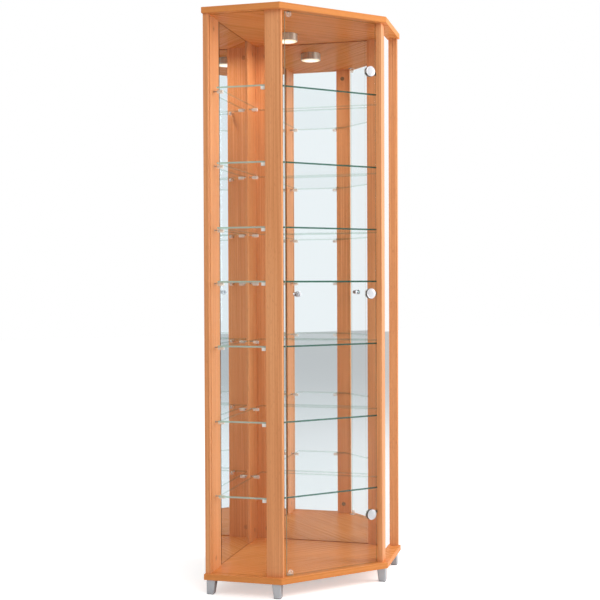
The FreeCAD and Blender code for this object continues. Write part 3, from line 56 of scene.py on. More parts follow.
HALF_ROOT = math.sqrt(0.5)

# refractive indices of the materials
RESIN_IOR = 1.5
GLASS_IOR = 1.52
PLASTIC_IOR = 1.49
POLYCARBONATE_IOR = 1.58
# a pane's face is broad where its normal lies this near the pane's own direction
BROAD = 0.7
# nearly all of a noise pattern lies between these values
NOISE_LOW, NOISE_HIGH = 0.3, 0.7


# ---------------------------------------------------------------------------------------------
# helpers of the finishes


def linear(colour: str) -> tuple[float, float, float, float]:
    """Turn an sRGB hex colour into the linear one that shaders take.

    Args:
        colour: "#" and six hex digits.

    Returns:
        Linear red, green and blue, and an alpha of 1.
    """
    parts = [int(colour[i : i + 2], 16) / 255 for i in (1, 3, 5)]
    red, green, blue = (c / 12.92 if c <= 0.04045 else ((c + 0.055) / 1.055) ** 2.4 for c in parts)
    return red, green, blue, 1.0


def add(tree: bpy.types.NodeTree, kind: str, inputs: dict | None = None,
        **settings: object) -> bpy.types.Node:
    """Add one node with its settings and links.

    By number, a Mix node takes its share at 0, and mixes numbers at 2 and 3, vectors at 4 and 5 or
    colours at 6 and 7, which come out at 0, 1 or 2. A MapRange node takes its value at 0, and turns
    the range from 1 to 2 into the one from 3 to 4.

    Args:
        tree: the node tree that it goes into.
        kind: the node's type name.
        inputs: a value, or the socket to link from, for each input by name or number.
        **settings: the node's own properties.

    Returns:
        The new node.
    """
    new = tree.nodes.new(kind)
    for name, value in settings.items():
        setattr(new, name, value)
    for key, value in (inputs or {}).items():
        if isinstance(value, bpy.types.NodeSocket):
            tree.links.new(value, new.inputs[key])
        else:
            new.inputs[key].default_value = value
    return new


class Facing(Enum):
    """Which way a sheet of glass or a mirror faces, as the direction through its thickness."""

    FRONT = (0.0, -1.0, 0.0)
    UP = (0.0, 0.0, 1.0)
    LEFT_SIDE = (-HALF_ROOT, -HALF_ROOT, 0.0)
    RIGHT_SIDE = (HALF_ROOT, -HALF_ROOT, 0.0)


class Grain(Enum):
    """Which way the printed grain runs on a board."""

    UPRIGHT = "up"
    ACROSS = "across"


def broad_face(tree: bpy.types.NodeTree, facing: Facing) -> bpy.types.NodeSocket:
    """Say how squarely a point of a pane faces along the pane's own direction.

    Args:
        tree: the material's node tree.
        facing: the pane's direction.

    Returns:
        A socket that is 1 on the front, -1 on the back and 0 on the edges.
    """
    where = add(tree, "ShaderNodeTexCoord")
    return add(tree, "ShaderNodeVectorMath", {0: where.outputs["Normal"], 1: facing.value},
               operation="DOT_PRODUCT").outputs["Value"]


@dataclass(frozen=True)
class Finish:
    """A finish as the maker names it, with the record's slot that it belongs to."""

    name: str
    slot: str

    def surface(self, tree: bpy.types.NodeTree) -> bpy.types.NodeSocket:
        """Build the finish's shader in the tree and return its output."""
        raise NotImplementedError

    def material(self) -> bpy.types.Material:
        """Return the finish as a material, made once.

        Returns:
            The material of this name.
        """
        made = bpy.data.materials.get(self.name)
        if made is None:
            made = bpy.data.materials.new(self.name)
            made.use_nodes = True
            made.node_tree.nodes.clear()
            shader = self.surface(made.node_tree)
            add(made.node_tree, "ShaderNodeOutputMaterial", {"Surface": shader})
        return made


@dataclass(frozen=True)
class MelamineBeech(Finish):
    """Chipboard with melamine paper printed as beech and pressed satin.

    The paper gives fine straight grain, short darker rays and a slow change of tone, under a resin skin
    that turns pale where it is seen along the face. The lines of real paper are under 1 mm wide: they
    are drawn coarser here, because finer ones don't show from where the whole cabinet is seen.
    """

    grain: Grain
    base: str = "#DD925A"
    pale: str = "#E8A36D"
    dark: str = "#CE834D"
    ray: str = "#BC7541"
    line_width: float = 4.5 * MM
    line_length: float = 500 * MM
    tone_width: float = 60 * MM
    tone_share: float = 0.25
    relief: float = 0.06
    roughness: float = 0.5
    duller: float = 0.1
    ray_width: float = 1.6 * MM
    ray_length: float = 14 * MM
    sheen: float = 0.5
    dark_at: float = 0.34
    pale_at: float = 0.66
    ray_from: float = 0.62
    ray_to: float = 0.72
    ray_share: float = 0.45

    def runs(self, tree: bpy.types.NodeTree, width: float, length: float) -> bpy.types.NodeSocket:
        """Give texture coordinates that are stretched along the grain.

        Args:
            tree: the material's node tree.
            width: size of the pattern across the grain.
            length: size of the pattern along the grain.

        Returns:
            A vector socket.
        """
        where = add(tree, "ShaderNodeTexCoord")
        narrow, long = 1 / width, 1 / length
        along_z = add(tree, "ShaderNodeMapping", {"Vector": where.outputs["Object"],
                                                  "Scale": (narrow, narrow, long)})
        if self.grain is Grain.UPRIGHT:
            return along_z.outputs["Vector"]
        along_x = add(tree, "ShaderNodeMapping", {"Vector": where.outputs["Object"],
                                                  "Scale": (long, narrow, narrow)})
        # the edge band's grain runs along each edge, so it only changes with height
        band = add(tree, "ShaderNodeMapping", {"Vector": where.outputs["Object"],
                                               "Scale": (long, long, narrow)})
        lies_flat = add(tree, "ShaderNodeMath", {0: broad_face(tree, Facing.UP)}, operation="ABSOLUTE")
        mixed = add(tree, "ShaderNodeMix", {0: lies_flat.outputs[0], 4: band.outputs["Vector"],
                                            5: along_x.outputs["Vector"]}, data_type="VECTOR")
        return mixed.outputs[1]

    def surface(self, tree: bpy.types.NodeTree) -> bpy.types.NodeSocket:
        """Build printed grain, rays and tone under a satin resin skin.

        Args:
            tree: the material's node tree.

        Returns:
            The shader's output.
        """
        lines = add(tree, "ShaderNodeTexNoise", {"Vector": self.runs(tree, self.line_width, self.line_length),
                                                 "Scale": 1.0, "Detail": 3.0, "Roughness": 0.5})
        slow = self.runs(tree, self.tone_width, 2 * self.line_length)
        tone = add(tree, "ShaderNodeTexNoise", {"Vector": slow, "Scale": 1.0, "Detail": 2.0,
                                                "Roughness": 0.5})
        rays = add(tree, "ShaderNodeTexNoise", {"Vector": self.runs(tree, self.ray_width, self.ray_length),
                                                "Scale": 1.0, "Detail": 1.0, "Roughness": 0.4})
        together = add(tree, "ShaderNodeMix", {0: self.tone_share, 2: lines.outputs["Fac"],
                                               3: tone.outputs["Fac"]})
        shade = add(tree, "ShaderNodeValToRGB", {"Fac": together.outputs[0]})
        ramp = shade.color_ramp
        ramp.elements[0].position, ramp.elements[0].color = self.dark_at, linear(self.dark)
        ramp.elements[1].position, ramp.elements[1].color = self.pale_at, linear(self.pale)
        middle = ramp.elements.new(0.5)
        middle.color = linear(self.base)
        is_ray = add(tree, "ShaderNodeMapRange", {0: rays.outputs["Fac"], 1: self.ray_from, 2: self.ray_to,
                                                  3: 0.0, 4: self.ray_share})
        printed = add(tree, "ShaderNodeMix", {0: is_ray.outputs[0], 6: shade.outputs["Color"],
                                              7: linear(self.ray)}, data_type="RGBA")
        skin = add(tree, "ShaderNodeMapRange", {0: lines.outputs["Fac"], 1: NOISE_LOW, 2: NOISE_HIGH,
                                                3: self.roughness, 4: self.roughness + self.duller})
        press = add(tree, "ShaderNodeBump", {"Strength": self.relief, "Distance": 0.1 * MM,
                                             "Height": lines.outputs["Fac"]})
        return add(tree, "ShaderNodeBsdfPrincipled", {
            "Base Color": printed.outputs[2], "Roughness": skin.outputs[0], "IOR": RESIN_IOR,
            "Specular IOR Level": self.sheen, "Normal": press.outputs["Normal"]}).outputs[0]


def sheet_reflection(tree: bpy.types.NodeTree, plain: float, grazing: float) -> bpy.types.NodeSocket:
    """Give the share of light that a clear sheet reflects, the same from both of its sides.

    Args:
        tree: the material's node tree.
        plain: the share reflected straight on.
        grazing: the share reflected along the surface.

    Returns:
        A socket from plain, straight on, to grazing, along the surface.
    """
    slope = add(tree, "ShaderNodeLayerWeight", {"Blend": 0.5})
    fifth = add(tree, "ShaderNodeMath", {0: slope.outputs["Facing"], 1: 5.0}, operation="POWER")
    return add(tree, "ShaderNodeMath", {0: fifth.outputs[0], 1: grazing - plain, 2: plain},
               operation="MULTIPLY_ADD").outputs[0]


@dataclass(frozen=True)
class FloatGlass(Finish):
    """Clear float glass with ground edges: hardly tinted through its faces and green at its edges.

    Its shares of reflection are set for each pane, under or over the 4 % of real glass, so that what
    stands behind it stays clear. The grinding is drawn coarser than it is, to show along an edge. Its
    edges keep their own green, with painted shade on those towards the door and painted light on those
    at the sides.
    """

    facing: Facing
    tint: str = "#FEFFFF"
    # the front edges carry painted shade over their green, and the side edges painted light
    front_edge: str = "#476B60"
    front_edge_dark: str = "#2C4A40"
    side_edge_painted_light: str = "#D3DFD0"
    side_edge_tint: str = "#7FC0AE"
    back_tint: str = "#E6EFEB"
    front_solid: float = 0.75
    side_solid: float = 0.6
    back_solid: float = 0.07
    plain: float = 0.011
    grazing: float = 0.45
    grind: float = 6 * MM
    smoothest: float = 0.12
    roughest: float = 0.28
    # how far an edge faces the back: it turns into a side edge, and then into a back edge
    side_from: float = -0.95
    side_to: float = -0.8
    back_from: float = 0.3
    back_to: float = 0.6

    def edge(self, tree: bpy.types.NodeTree) -> bpy.types.NodeSocket:
        """Build the ground edges: painted shade towards the door, painted light at the sides, hardly seen at
        the back.

        Args:
            tree: the material's node tree.

        Returns:
            The shader of the edges.
        """
        where = add(tree, "ShaderNodeTexCoord")
        ground = add(tree, "ShaderNodeTexNoise", {"Vector": where.outputs["Object"], "Scale": 1 / self.grind,
                                                  "Detail": 3.0})
        green = add(tree, "ShaderNodeMix", {0: ground.outputs["Fac"], 6: linear(self.front_edge),
                                            7: linear(self.front_edge_dark)}, data_type="RGBA")
        to_back = add(tree, "ShaderNodeVectorMath", {0: where.outputs["Normal"], 1: (0, 1, 0)},
                      operation="DOT_PRODUCT").outputs["Value"]
        at_side = add(tree, "ShaderNodeMapRange", {0: to_back, 1: self.side_from, 2: self.side_to})
        at_back = add(tree, "ShaderNodeMapRange", {0: to_back, 1: self.back_from, 2: self.back_to})
        # from inside the sheet an edge lets nearly all light through
        inside = add(tree, "ShaderNodeNewGeometry").outputs["Backfacing"]
        hardly = add(tree, "ShaderNodeMath", {0: at_back.outputs[0], 1: inside},
                     operation="MAXIMUM").outputs[0]
        # painted shade on the edges towards the door, painted light on those at the sides
        colour = add(tree, "ShaderNodeMix", {0: at_side.outputs[0], 6: green.outputs[2],
                                             7: linear(self.side_edge_painted_light)}, data_type="RGBA")
        outer = add(tree, "ShaderNodeMapRange", {0: at_side.outputs[0], 3: self.front_solid,
                                                 4: self.side_solid})
        share = add(tree, "ShaderNodeMix", {0: hardly, 2: outer.outputs[0], 3: self.back_solid})
        tint = add(tree, "ShaderNodeMix", {0: hardly, 6: linear(self.side_edge_tint),
                                           7: linear(self.back_tint)}, data_type="RGBA")
        skin = add(tree, "ShaderNodeMapRange", {0: ground.outputs["Fac"], 1: NOISE_LOW, 2: NOISE_HIGH,
                                                3: self.smoothest, 4: self.roughest})
        solid = add(tree, "ShaderNodeBsdfPrincipled", {"Base Color": colour.outputs[2], "IOR": GLASS_IOR,
                                                       "Roughness": skin.outputs[0]})
        through = add(tree, "ShaderNodeBsdfTransparent", {"Color": tint.outputs[2]})
        return add(tree, "ShaderNodeMixShader", {0: share.outputs[0], 1: through.outputs[0],
                                                 2: solid.outputs[0]}).outputs[0]

    def surface(self, tree: bpy.types.NodeTree) -> bpy.types.NodeSocket:
        """Build clear faces that mirror along the surface, and the ground edges.

        Args:
            tree: the material's node tree.

        Returns:
            The shader's output.
        """
        clear = add(tree, "ShaderNodeBsdfTransparent", {"Color": linear(self.tint)})
        gloss = add(tree, "ShaderNodeBsdfGlossy", {"Color": (1, 1, 1, 1), "Roughness": 0.0})
        shine = sheet_reflection(tree, self.plain, self.grazing)
        face = add(tree, "ShaderNodeMixShader", {0: shine, 1: clear.outputs[0], 2: gloss.outputs[0]})
        squarely = add(tree, "ShaderNodeMath", {0: broad_face(tree, self.facing)}, operation="ABSOLUTE")
        on_face = add(tree, "ShaderNodeMath", {0: squarely.outputs[0], 1: BROAD}, operation="GREATER_THAN")
        return add(tree, "ShaderNodeMixShader", {0: on_face.outputs[0], 1: self.edge(tree),
                                                 2: face.outputs[0]}).outputs[0]


@dataclass(frozen=True)
class SilveredMirror(Finish):
    """Float glass silvered on its back and sealed with grey paint.

    Its silver carries a narrow line of painted shade where it goes into the grooves of the boards and panels.
    """

    facing: Facing
    along: tuple[float, float, float]
    # the border lines are painted shade where the silver goes into the grooves and meets the side board
    side_shade_width: float = 3 * MM
    side_shade_colour: str = "#8E5B38"
    to_side: float = 205.5 * MM
    low: float = 62 * MM
    high: float = 1722 * MM
    line: float = 2.5 * MM
    groove_shade_colour: str = "#A86C42"
    silver: str = "#F1F5F8"
    edge: str = "#5E7F74"
    backing: str = "#8C8F8E"
    # the orange peel of the sprayed paint, drawn coarser than it is so that it shows
    spray: float = MM / 0.9
    smoothest: float = 0.5
    roughest: float = 0.66
    # a border line is full up to this share of its width, and fades out over the rest
    full: float = 0.8

    def near(self, tree: bpy.types.NodeTree, way: tuple[float, float, float], border: float,
             width: float) -> bpy.types.NodeSocket:
        """Give a socket that is 1 beside one border of the mirror and 0 away from it.

        Args:
            tree: the material's node tree.
            way: the direction across the border.
            border: where the border lies along that direction.
            width: how far the line reaches.

        Returns:
            A socket from 0 to 1.
        """
        where = add(tree, "ShaderNodeTexCoord").outputs["Object"]
        at = add(tree, "ShaderNodeVectorMath", {0: where, 1: way}, operation="DOT_PRODUCT").outputs["Value"]
        off = add(tree, "ShaderNodeMath", {0: at, 1: border}, operation="SUBTRACT").outputs[0]
        off = add(tree, "ShaderNodeMath", {0: off}, operation="ABSOLUTE").outputs[0]
        return add(tree, "ShaderNodeMapRange", {0: off, 1: self.full * width, 2: width, 3: 1.0,
                                                4: 0.0}).outputs[0]

    def silvering(self, tree: bpy.types.NodeTree) -> bpy.types.NodeSocket:
        """Colour the silver, with the painted lines of shade at its borders.

        Args:
            tree: the material's node tree.

        Returns:
            The colour's socket.
        """
        up = (0.0, 0.0, 1.0)
        colour: bpy.types.NodeSocket | tuple[float, ...] = linear(self.silver)
        # each line is painted shade at one border of the silver
        for way, border, width, line in ((up, self.low, self.line, self.groove_shade_colour),
                                         (up, self.high, self.line, self.groove_shade_colour),
                                         (self.along, self.to_side, self.side_shade_width, self.side_shade_colour)):
            colour = add(tree, "ShaderNodeMix", {0: self.near(tree, way, border, width), 6: colour,
                                                 7: linear(line)}, data_type="RGBA").outputs[2]
        return colour

    def surface(self, tree: bpy.types.NodeTree) -> bpy.types.NodeSocket:
        """Build the silvered front with its painted shade at the borders, the green edges and the painted
        back.

        Args:
            tree: the material's node tree.

        Returns:
            The shader's output.
        """
        front = add(tree, "ShaderNodeBsdfPrincipled", {"Base Color": self.silvering(tree), "Metallic": 1.0,
                                                       "Roughness": 0.0})
        edge = add(tree, "ShaderNodeBsdfPrincipled", {"Base Color": linear(self.edge), "Roughness": 0.2,
                                                      "IOR": GLASS_IOR})
        where = add(tree, "ShaderNodeTexCoord")
        spray = add(tree, "ShaderNodeTexNoise", {"Vector": where.outputs["Object"], "Scale": 1 / self.spray,
                                                 "Detail": 2.0})
        skin = add(tree, "ShaderNodeMapRange", {0: spray.outputs["Fac"], 3: self.smoothest,
                                                4: self.roughest})
        orange_peel = add(tree, "ShaderNodeBump", {"Strength": 0.2, "Distance": 0.1 * MM,
                                                   "Height": spray.outputs["Fac"]})
        back = add(tree, "ShaderNodeBsdfPrincipled", {"Base Color": linear(self.backing), "IOR": RESIN_IOR,
                                                      "Roughness": skin.outputs[0],
                                                      "Normal": orange_peel.outputs["Normal"]})
        squarely = broad_face(tree, self.facing)
        on_front = add(tree, "ShaderNodeMath", {0: squarely, 1: BROAD}, operation="GREATER_THAN")
        on_back = add(tree, "ShaderNodeMath", {0: squarely, 1: -BROAD}, operation="LESS_THAN")
        rim = add(tree, "ShaderNodeMixShader", {0: on_back.outputs[0], 1: edge.outputs[0],
                                                2: back.outputs[0]})
        return add(tree, "ShaderNodeMixShader", {0: on_front.outputs[0], 1: rim.outputs[0],
                                                 2: front.outputs[0]}).outputs[0]


@dataclass(frozen=True)
class FineSkin(Finish):
    """A skin whose colour, gloss and height all change a little with one fine cloudy pattern.

    The pattern is drawn coarser than the real grit, because that is too fine to show. The IOR of 1.5
    is Blender's default, which a metal keeps.
    """

    colour: str
    shade: str
    roughness: float
    grit: float = 3 * MM
    detail: float = 3.0
    stretch: float = 1.0
    relief: float = 0.05
    metallic: float = 1.0
    smoother: float = 0.03
    duller: float = 0.03
    ior: float = 1.5

    def surface(self, tree: bpy.types.NodeTree) -> bpy.types.NodeSocket:
        """Build the skin, with its pattern drawn out upright by the stretch where it is brushed.

        Args:
            tree: the material's node tree.

        Returns:
            The shader's output.
        """
        where = add(tree, "ShaderNodeTexCoord")
        drawn = add(tree, "ShaderNodeMapping", {"Vector": where.outputs["Object"],
                                                "Scale": (1.0, 1.0, 1 / self.stretch)})
        cloud = add(tree, "ShaderNodeTexNoise", {"Vector": drawn.outputs["Vector"], "Scale": 1 / self.grit,
                                                 "Detail": self.detail})
        colour = add(tree, "ShaderNodeMix", {0: cloud.outputs["Fac"], 6: linear(self.colour),
                                             7: linear(self.shade)}, data_type="RGBA")
        skin = add(tree, "ShaderNodeMapRange", {0: cloud.outputs["Fac"], 1: NOISE_LOW, 2: NOISE_HIGH,
                                                3: self.roughness - self.smoother,
                                                4: self.roughness + self.duller})
        bump = add(tree, "ShaderNodeBump", {"Strength": self.relief, "Distance": 0.05 * MM,
                                            "Height": cloud.outputs["Fac"]})
        return add(tree, "ShaderNodeBsdfPrincipled", {
            "Base Color": colour.outputs[2], "Metallic": self.metallic, "Roughness": skin.outputs[0],
            "IOR": self.ior, "Normal": bump.outputs["Normal"]}).outputs[0]


@dataclass(frozen=True)
class PlatedMetal(FineSkin):
    """Die-cast or turned metal with a plated skin, faintly clouded."""


@dataclass(frozen=True)
class MouldedPlastic(FineSkin):
    """Injection-moulded plastic with a fine eroded texture from its mould."""

    grit: float = 1.2 * MM
    detail: float = 2.0
    relief: float = 0.25
    metallic: float = 0.0
    smoother: float = 0.05
    duller: float = 0.07
    ior: float = PLASTIC_IOR


@dataclass(frozen=True)
class ClearPlastic(Finish):
    """Clear moulded polycarbonate: seen through in its middle, bright and milky towards its outline."""

    colour: str = "#FFFBF4"
    middle: float = 0.4
    outline: float = 0.8
    # the flow marks of the moulding are slow waves, 3.8 mm apart
    flow: float = MM / 0.26
    smoothest: float = 0.08
    roughest: float = 0.2
    # how far the skin turns away from the eye: the milk begins, and is full
    milk_from: float = 0.1
    milk_to: float = 0.7

    def surface(self, tree: bpy.types.NodeTree) -> bpy.types.NodeSocket:
        """Build a clear sheen over a body that is milkier where it is seen along its skin.

        Args:
            tree: the material's node tree.

        Returns:
            The shader's output.
        """
        where = add(tree, "ShaderNodeTexCoord")
        flow = add(tree, "ShaderNodeTexNoise", {"Vector": where.outputs["Object"], "Scale": 1 / self.flow,
                                                "Detail": 2.0})
        skin = add(tree, "ShaderNodeMapRange", {0: flow.outputs["Fac"], 3: self.smoothest,
                                                4: self.roughest})
        milk = add(tree, "ShaderNodeBsdfPrincipled", {"Base Color": linear(self.colour),
                                                      "IOR": POLYCARBONATE_IOR,
                                                      "Roughness": skin.outputs[0]})
        clear = add(tree, "ShaderNodeBsdfTransparent", {"Color": linear(self.colour)})
        slope = add(tree, "ShaderNodeLayerWeight", {"Blend": 0.5})
        body = add(tree, "ShaderNodeMapRange", {0: slope.outputs["Facing"], 1: self.milk_from,
                                                2: self.milk_to, 3: self.middle, 4: self.outline})
        return add(tree, "ShaderNodeMixShader", {0: body.outputs[0], 1: clear.outputs[0],
                                                 2: milk.outputs[0]}).outputs[0]


@dataclass(frozen=True)
class OpalLens(Finish):
    """Frosted glass lit from behind: white in the middle and warmer towards the rim."""

    centre: tuple[float, float, float] = (0.0, 24 * MM, 1697 * MM)
    radius: float = 32 * MM
    hot_radius: float = 15 * MM
    hot: str = "#FFFCF4"
    rim: str = "#DDC29C"
    glow: float = 1.0
    # the etching, drawn coarser than it is so that it shows
    etching: float = 1.25 * MM

    def surface(self, tree: bpy.types.NodeTree) -> bpy.types.NodeSocket:
        """Build the frosted skin and the light behind it.

        Args:
            tree: the material's node tree.

        Returns:
            The shader's output.
        """
        where = add(tree, "ShaderNodeTexCoord")
        off = add(tree, "ShaderNodeVectorMath", {0: where.outputs["Object"], 1: self.centre},
                  operation="DISTANCE")
        spread = add(tree, "ShaderNodeMapRange", {0: off.outputs["Value"], 1: self.hot_radius,
                                                  2: self.radius}, interpolation_type="SMOOTHSTEP")
        light = add(tree, "ShaderNodeMix", {0: spread.outputs[0], 6: linear(self.hot),
                                            7: linear(self.rim)}, data_type="RGBA")
        frost = add(tree, "ShaderNodeTexNoise", {"Vector": where.outputs["Object"], "Scale": 1 / self.etching,
                                                 "Detail": 2.0})
        bump = add(tree, "ShaderNodeBump", {"Strength": 0.15, "Distance": 0.05 * MM,
                                            "Height": frost.outputs["Fac"]})
        return add(tree, "ShaderNodeBsdfPrincipled", {
            "Base Color": linear(self.rim), "Roughness": 0.4, "IOR": RESIN_IOR,
            "Emission Color": light.outputs[2], "Emission Strength": self.glow,
            "Normal": bump.outputs["Normal"]}).outputs[0]


@dataclass(frozen=True)
class TurnedBeech(Finish):
    """Raw turned beech: dowels with fine grain along them and a dry matt skin."""

    colour: str = "#D9B384"
    shade: str = "#C79C68"
    # the fibres are drawn coarser than they are
    fibre_width: float = MM / 0.9
    fibre_length: float = MM / 0.06

    def surface(self, tree: bpy.types.NodeTree) -> bpy.types.NodeSocket:
        """Build the dry grain along the dowel.

        Args:
            tree: the material's node tree.

        Returns:
            The shader's output.
        """
        where = add(tree, "ShaderNodeTexCoord")
        narrow, long = 1 / self.fibre_width, 1 / self.fibre_length
        along = add(tree, "ShaderNodeMapping", {"Vector": where.outputs["Object"],
                                                "Scale": (narrow, narrow, long)})
        grain = add(tree, "ShaderNodeTexNoise", {"Vector": along.outputs["Vector"], "Scale": 1.0,
                                                 "Detail": 3.0})
        colour = add(tree, "ShaderNodeMix", {0: grain.outputs["Fac"], 6: linear(self.colour),
                                             7: linear(self.shade)}, data_type="RGBA")
        bump = add(tree, "ShaderNodeBump", {"Strength": 0.3, "Distance": 0.1 * MM,
                                            "Height": grain.outputs["Fac"]})
        return add(tree, "ShaderNodeBsdfPrincipled", {"Base Color": colour.outputs[2], "Roughness": 0.7,
                                                      "IOR": RESIN_IOR,
                                                      "Normal": bump.outputs["Normal"]}).outputs[0]


# ---------------------------------------------------------------------------------------------
# the cabinet's finishes

# melamine paper printed as beech and pressed on chipboard: a warm even tone with faint straight lines,
# and no shine, so that the panels don't go pale where they are seen along the face
PANEL_BEECH = MelamineBeech("beech_melamine_panel", "beech_panel", Grain.ACROSS, base="#DC8D50",
                            pale="#E2965A", dark="#D28549", ray="#C57C45", sheen=0.012,
                            roughness=0.22, relief=0.01)
# the same paper pressed satin on the uprights: livelier lines and a pale shine along the face
BOARD_BEECH = MelamineBeech("beech_melamine_board", "beech_board", Grain.UPRIGHT)
# turned beech left raw: dry, matt and paler than the print
DOWEL_BEECH = TurnedBeech("turned_beech_raw", "dowel_wood")
# float glass with ground edges: clear faces, and a green line along the front edge, darkened by painted shade
DOOR_GLASS = FloatGlass("float_glass_door", "clear_glass", Facing.FRONT)
# the same glass with little shine along its faces, so that a shelf shows as its edge
SHELF_GLASS = FloatGlass("float_glass_shelf", "clear_glass", Facing.UP, grazing=0.1)
# the left pane hardly mirrors, and lets the inside show
LEFT_GLASS = FloatGlass("float_glass_left_side", "clear_glass", Facing.LEFT_SIDE, plain=0.003)
# the right pane mirrors more than real glass does, and turns white where it is seen along its face
RIGHT_GLASS = FloatGlass("float_glass_right_side", "clear_glass", Facing.RIGHT_SIDE, plain=0.04,
                         grazing=2.5)
# glass silvered on its back: a cool, slightly blue image with brown lines of painted shade at its borders.
# Each mirror looks into the cabinet, towards the opposite glass side
LEFT_MIRROR = SilveredMirror("silvered_glass_left", "mirror", Facing.RIGHT_SIDE,
                             (-HALF_ROOT, -HALF_ROOT, 0.0), side_shade_width=12 * MM, side_shade_colour="#6E5F50")
RIGHT_MIRROR = SilveredMirror("silvered_glass_right", "mirror", Facing.LEFT_SIDE,
                              (HALF_ROOT, -HALF_ROOT, 0.0), side_shade_width=0.2 * MM)
# satin chrome on die-cast zinc: light, neutral and soft in its highlights
CHROME = PlatedMetal("satin_chrome_on_zinc", "chrome", "#CFD0D3", "#C2C3C7", 0.42)
# satin nickel on steel: a little warmer and glossier than the chrome
NICKEL = PlatedMetal("satin_nickel_on_steel", "nickel", "#C3BFB8", "#B5B1AA", 0.28)
# zinc-plated steel: bluish grey and uneven in its gloss
ZINC = PlatedMetal("zinc_plated_steel", "zinc", "#B9BCC0", "#A5A9AE", 0.35, smoother=0.06, duller=0.06)
# spun steel, brushed and nickel-plated: upright streaks of the brushing, whose brown is a painted reflection
# of the wooden inside
BRUSHED = PlatedMetal("brushed_nickel_spun_steel", "brushed_metal", "#FBF7EC", "#8F8773", 0.38,
                      grit=2.6 * MM, stretch=30.0, metallic=0.55, smoother=0.07, duller=0.07)
# bronzed die-cast zinc: a dull brown dot in the wood
BRONZED = PlatedMetal("bronzed_die_cast_zinc", "zinc", "#A08660", "#7E6646", 0.5, metallic=0.4)
# moulded ABS, sprayed silver: a fine metallic grey without sharp highlights
SILVER_PAINT = MouldedPlastic("silver_painted_abs", "grey_plastic", "#C2C4C8", "#AFB2B7", 0.36,
                              metallic=0.45, ior=1.5)
# moulded grey ABS: an even, matt mid grey
GREY_PLASTIC = MouldedPlastic("moulded_grey_abs", "grey_plastic", "#8F9296", "#85888C", 0.45)
# moulded black nylon: a dark ring that sets the bright caps off from the glass
SEAL_PLASTIC = MouldedPlastic("moulded_black_nylon", "grey_plastic", "#3B3C3E", "#333436", 0.4)
# covers moulded in the tone of the wood, which hide the zinc fittings under them
COVER_CAPS = MouldedPlastic("moulded_beech_coloured_caps", "zinc", "#C98350", "#BD7947", 0.5)
# moulded black polyethylene: a thin dark line between foot and floor
GLIDE_PLASTIC = MouldedPlastic("moulded_black_polyethylene", "grey_plastic", "#2E2F31", "#262729", 0.5)
# fired steatite: a matt, slightly yellow white
CERAMIC = MouldedPlastic("fired_steatite_ceramic", "ceramic", "#E7E3DA", "#DAD5CA", 0.6)
# moulded polycarbonate: a clear block with a bright outline, milkier on the front posts,
# and nearly clear where it is the soft kind of the door stops
CLEAR_PLASTIC = ClearPlastic("moulded_clear_polycarbonate", "clear_plastic")
BRIGHT_PLASTIC = ClearPlastic("moulded_milky_polycarbonate", "clear_plastic", middle=0.85, outline=0.95)
STOP_PLASTIC = ClearPlastic("moulded_clear_elastomer", "clear_plastic", middle=0.2, outline=0.6)
# etched glass lit from behind: white in the middle and warm towards the rim; the bulb is brighter
LENS = OpalLens("frosted_glass_lens", "frosted_glass")
BULB = OpalLens("clear_glass_capsule_bulb", "bulb_glass", glow=3.0)


def dress(finish: Finish, *nodes: str) -> None:
    """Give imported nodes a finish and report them.

    Args:
        finish: the finish.
        *nodes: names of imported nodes.
    """
    for name in nodes:
        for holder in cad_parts[name].material_slots:
            holder.material = finish.material()
        LOG.info("%s: %s", name, finish.name)


# ---------------------------------------------------------------------------------------------
# the bench: how new pieces are modelled


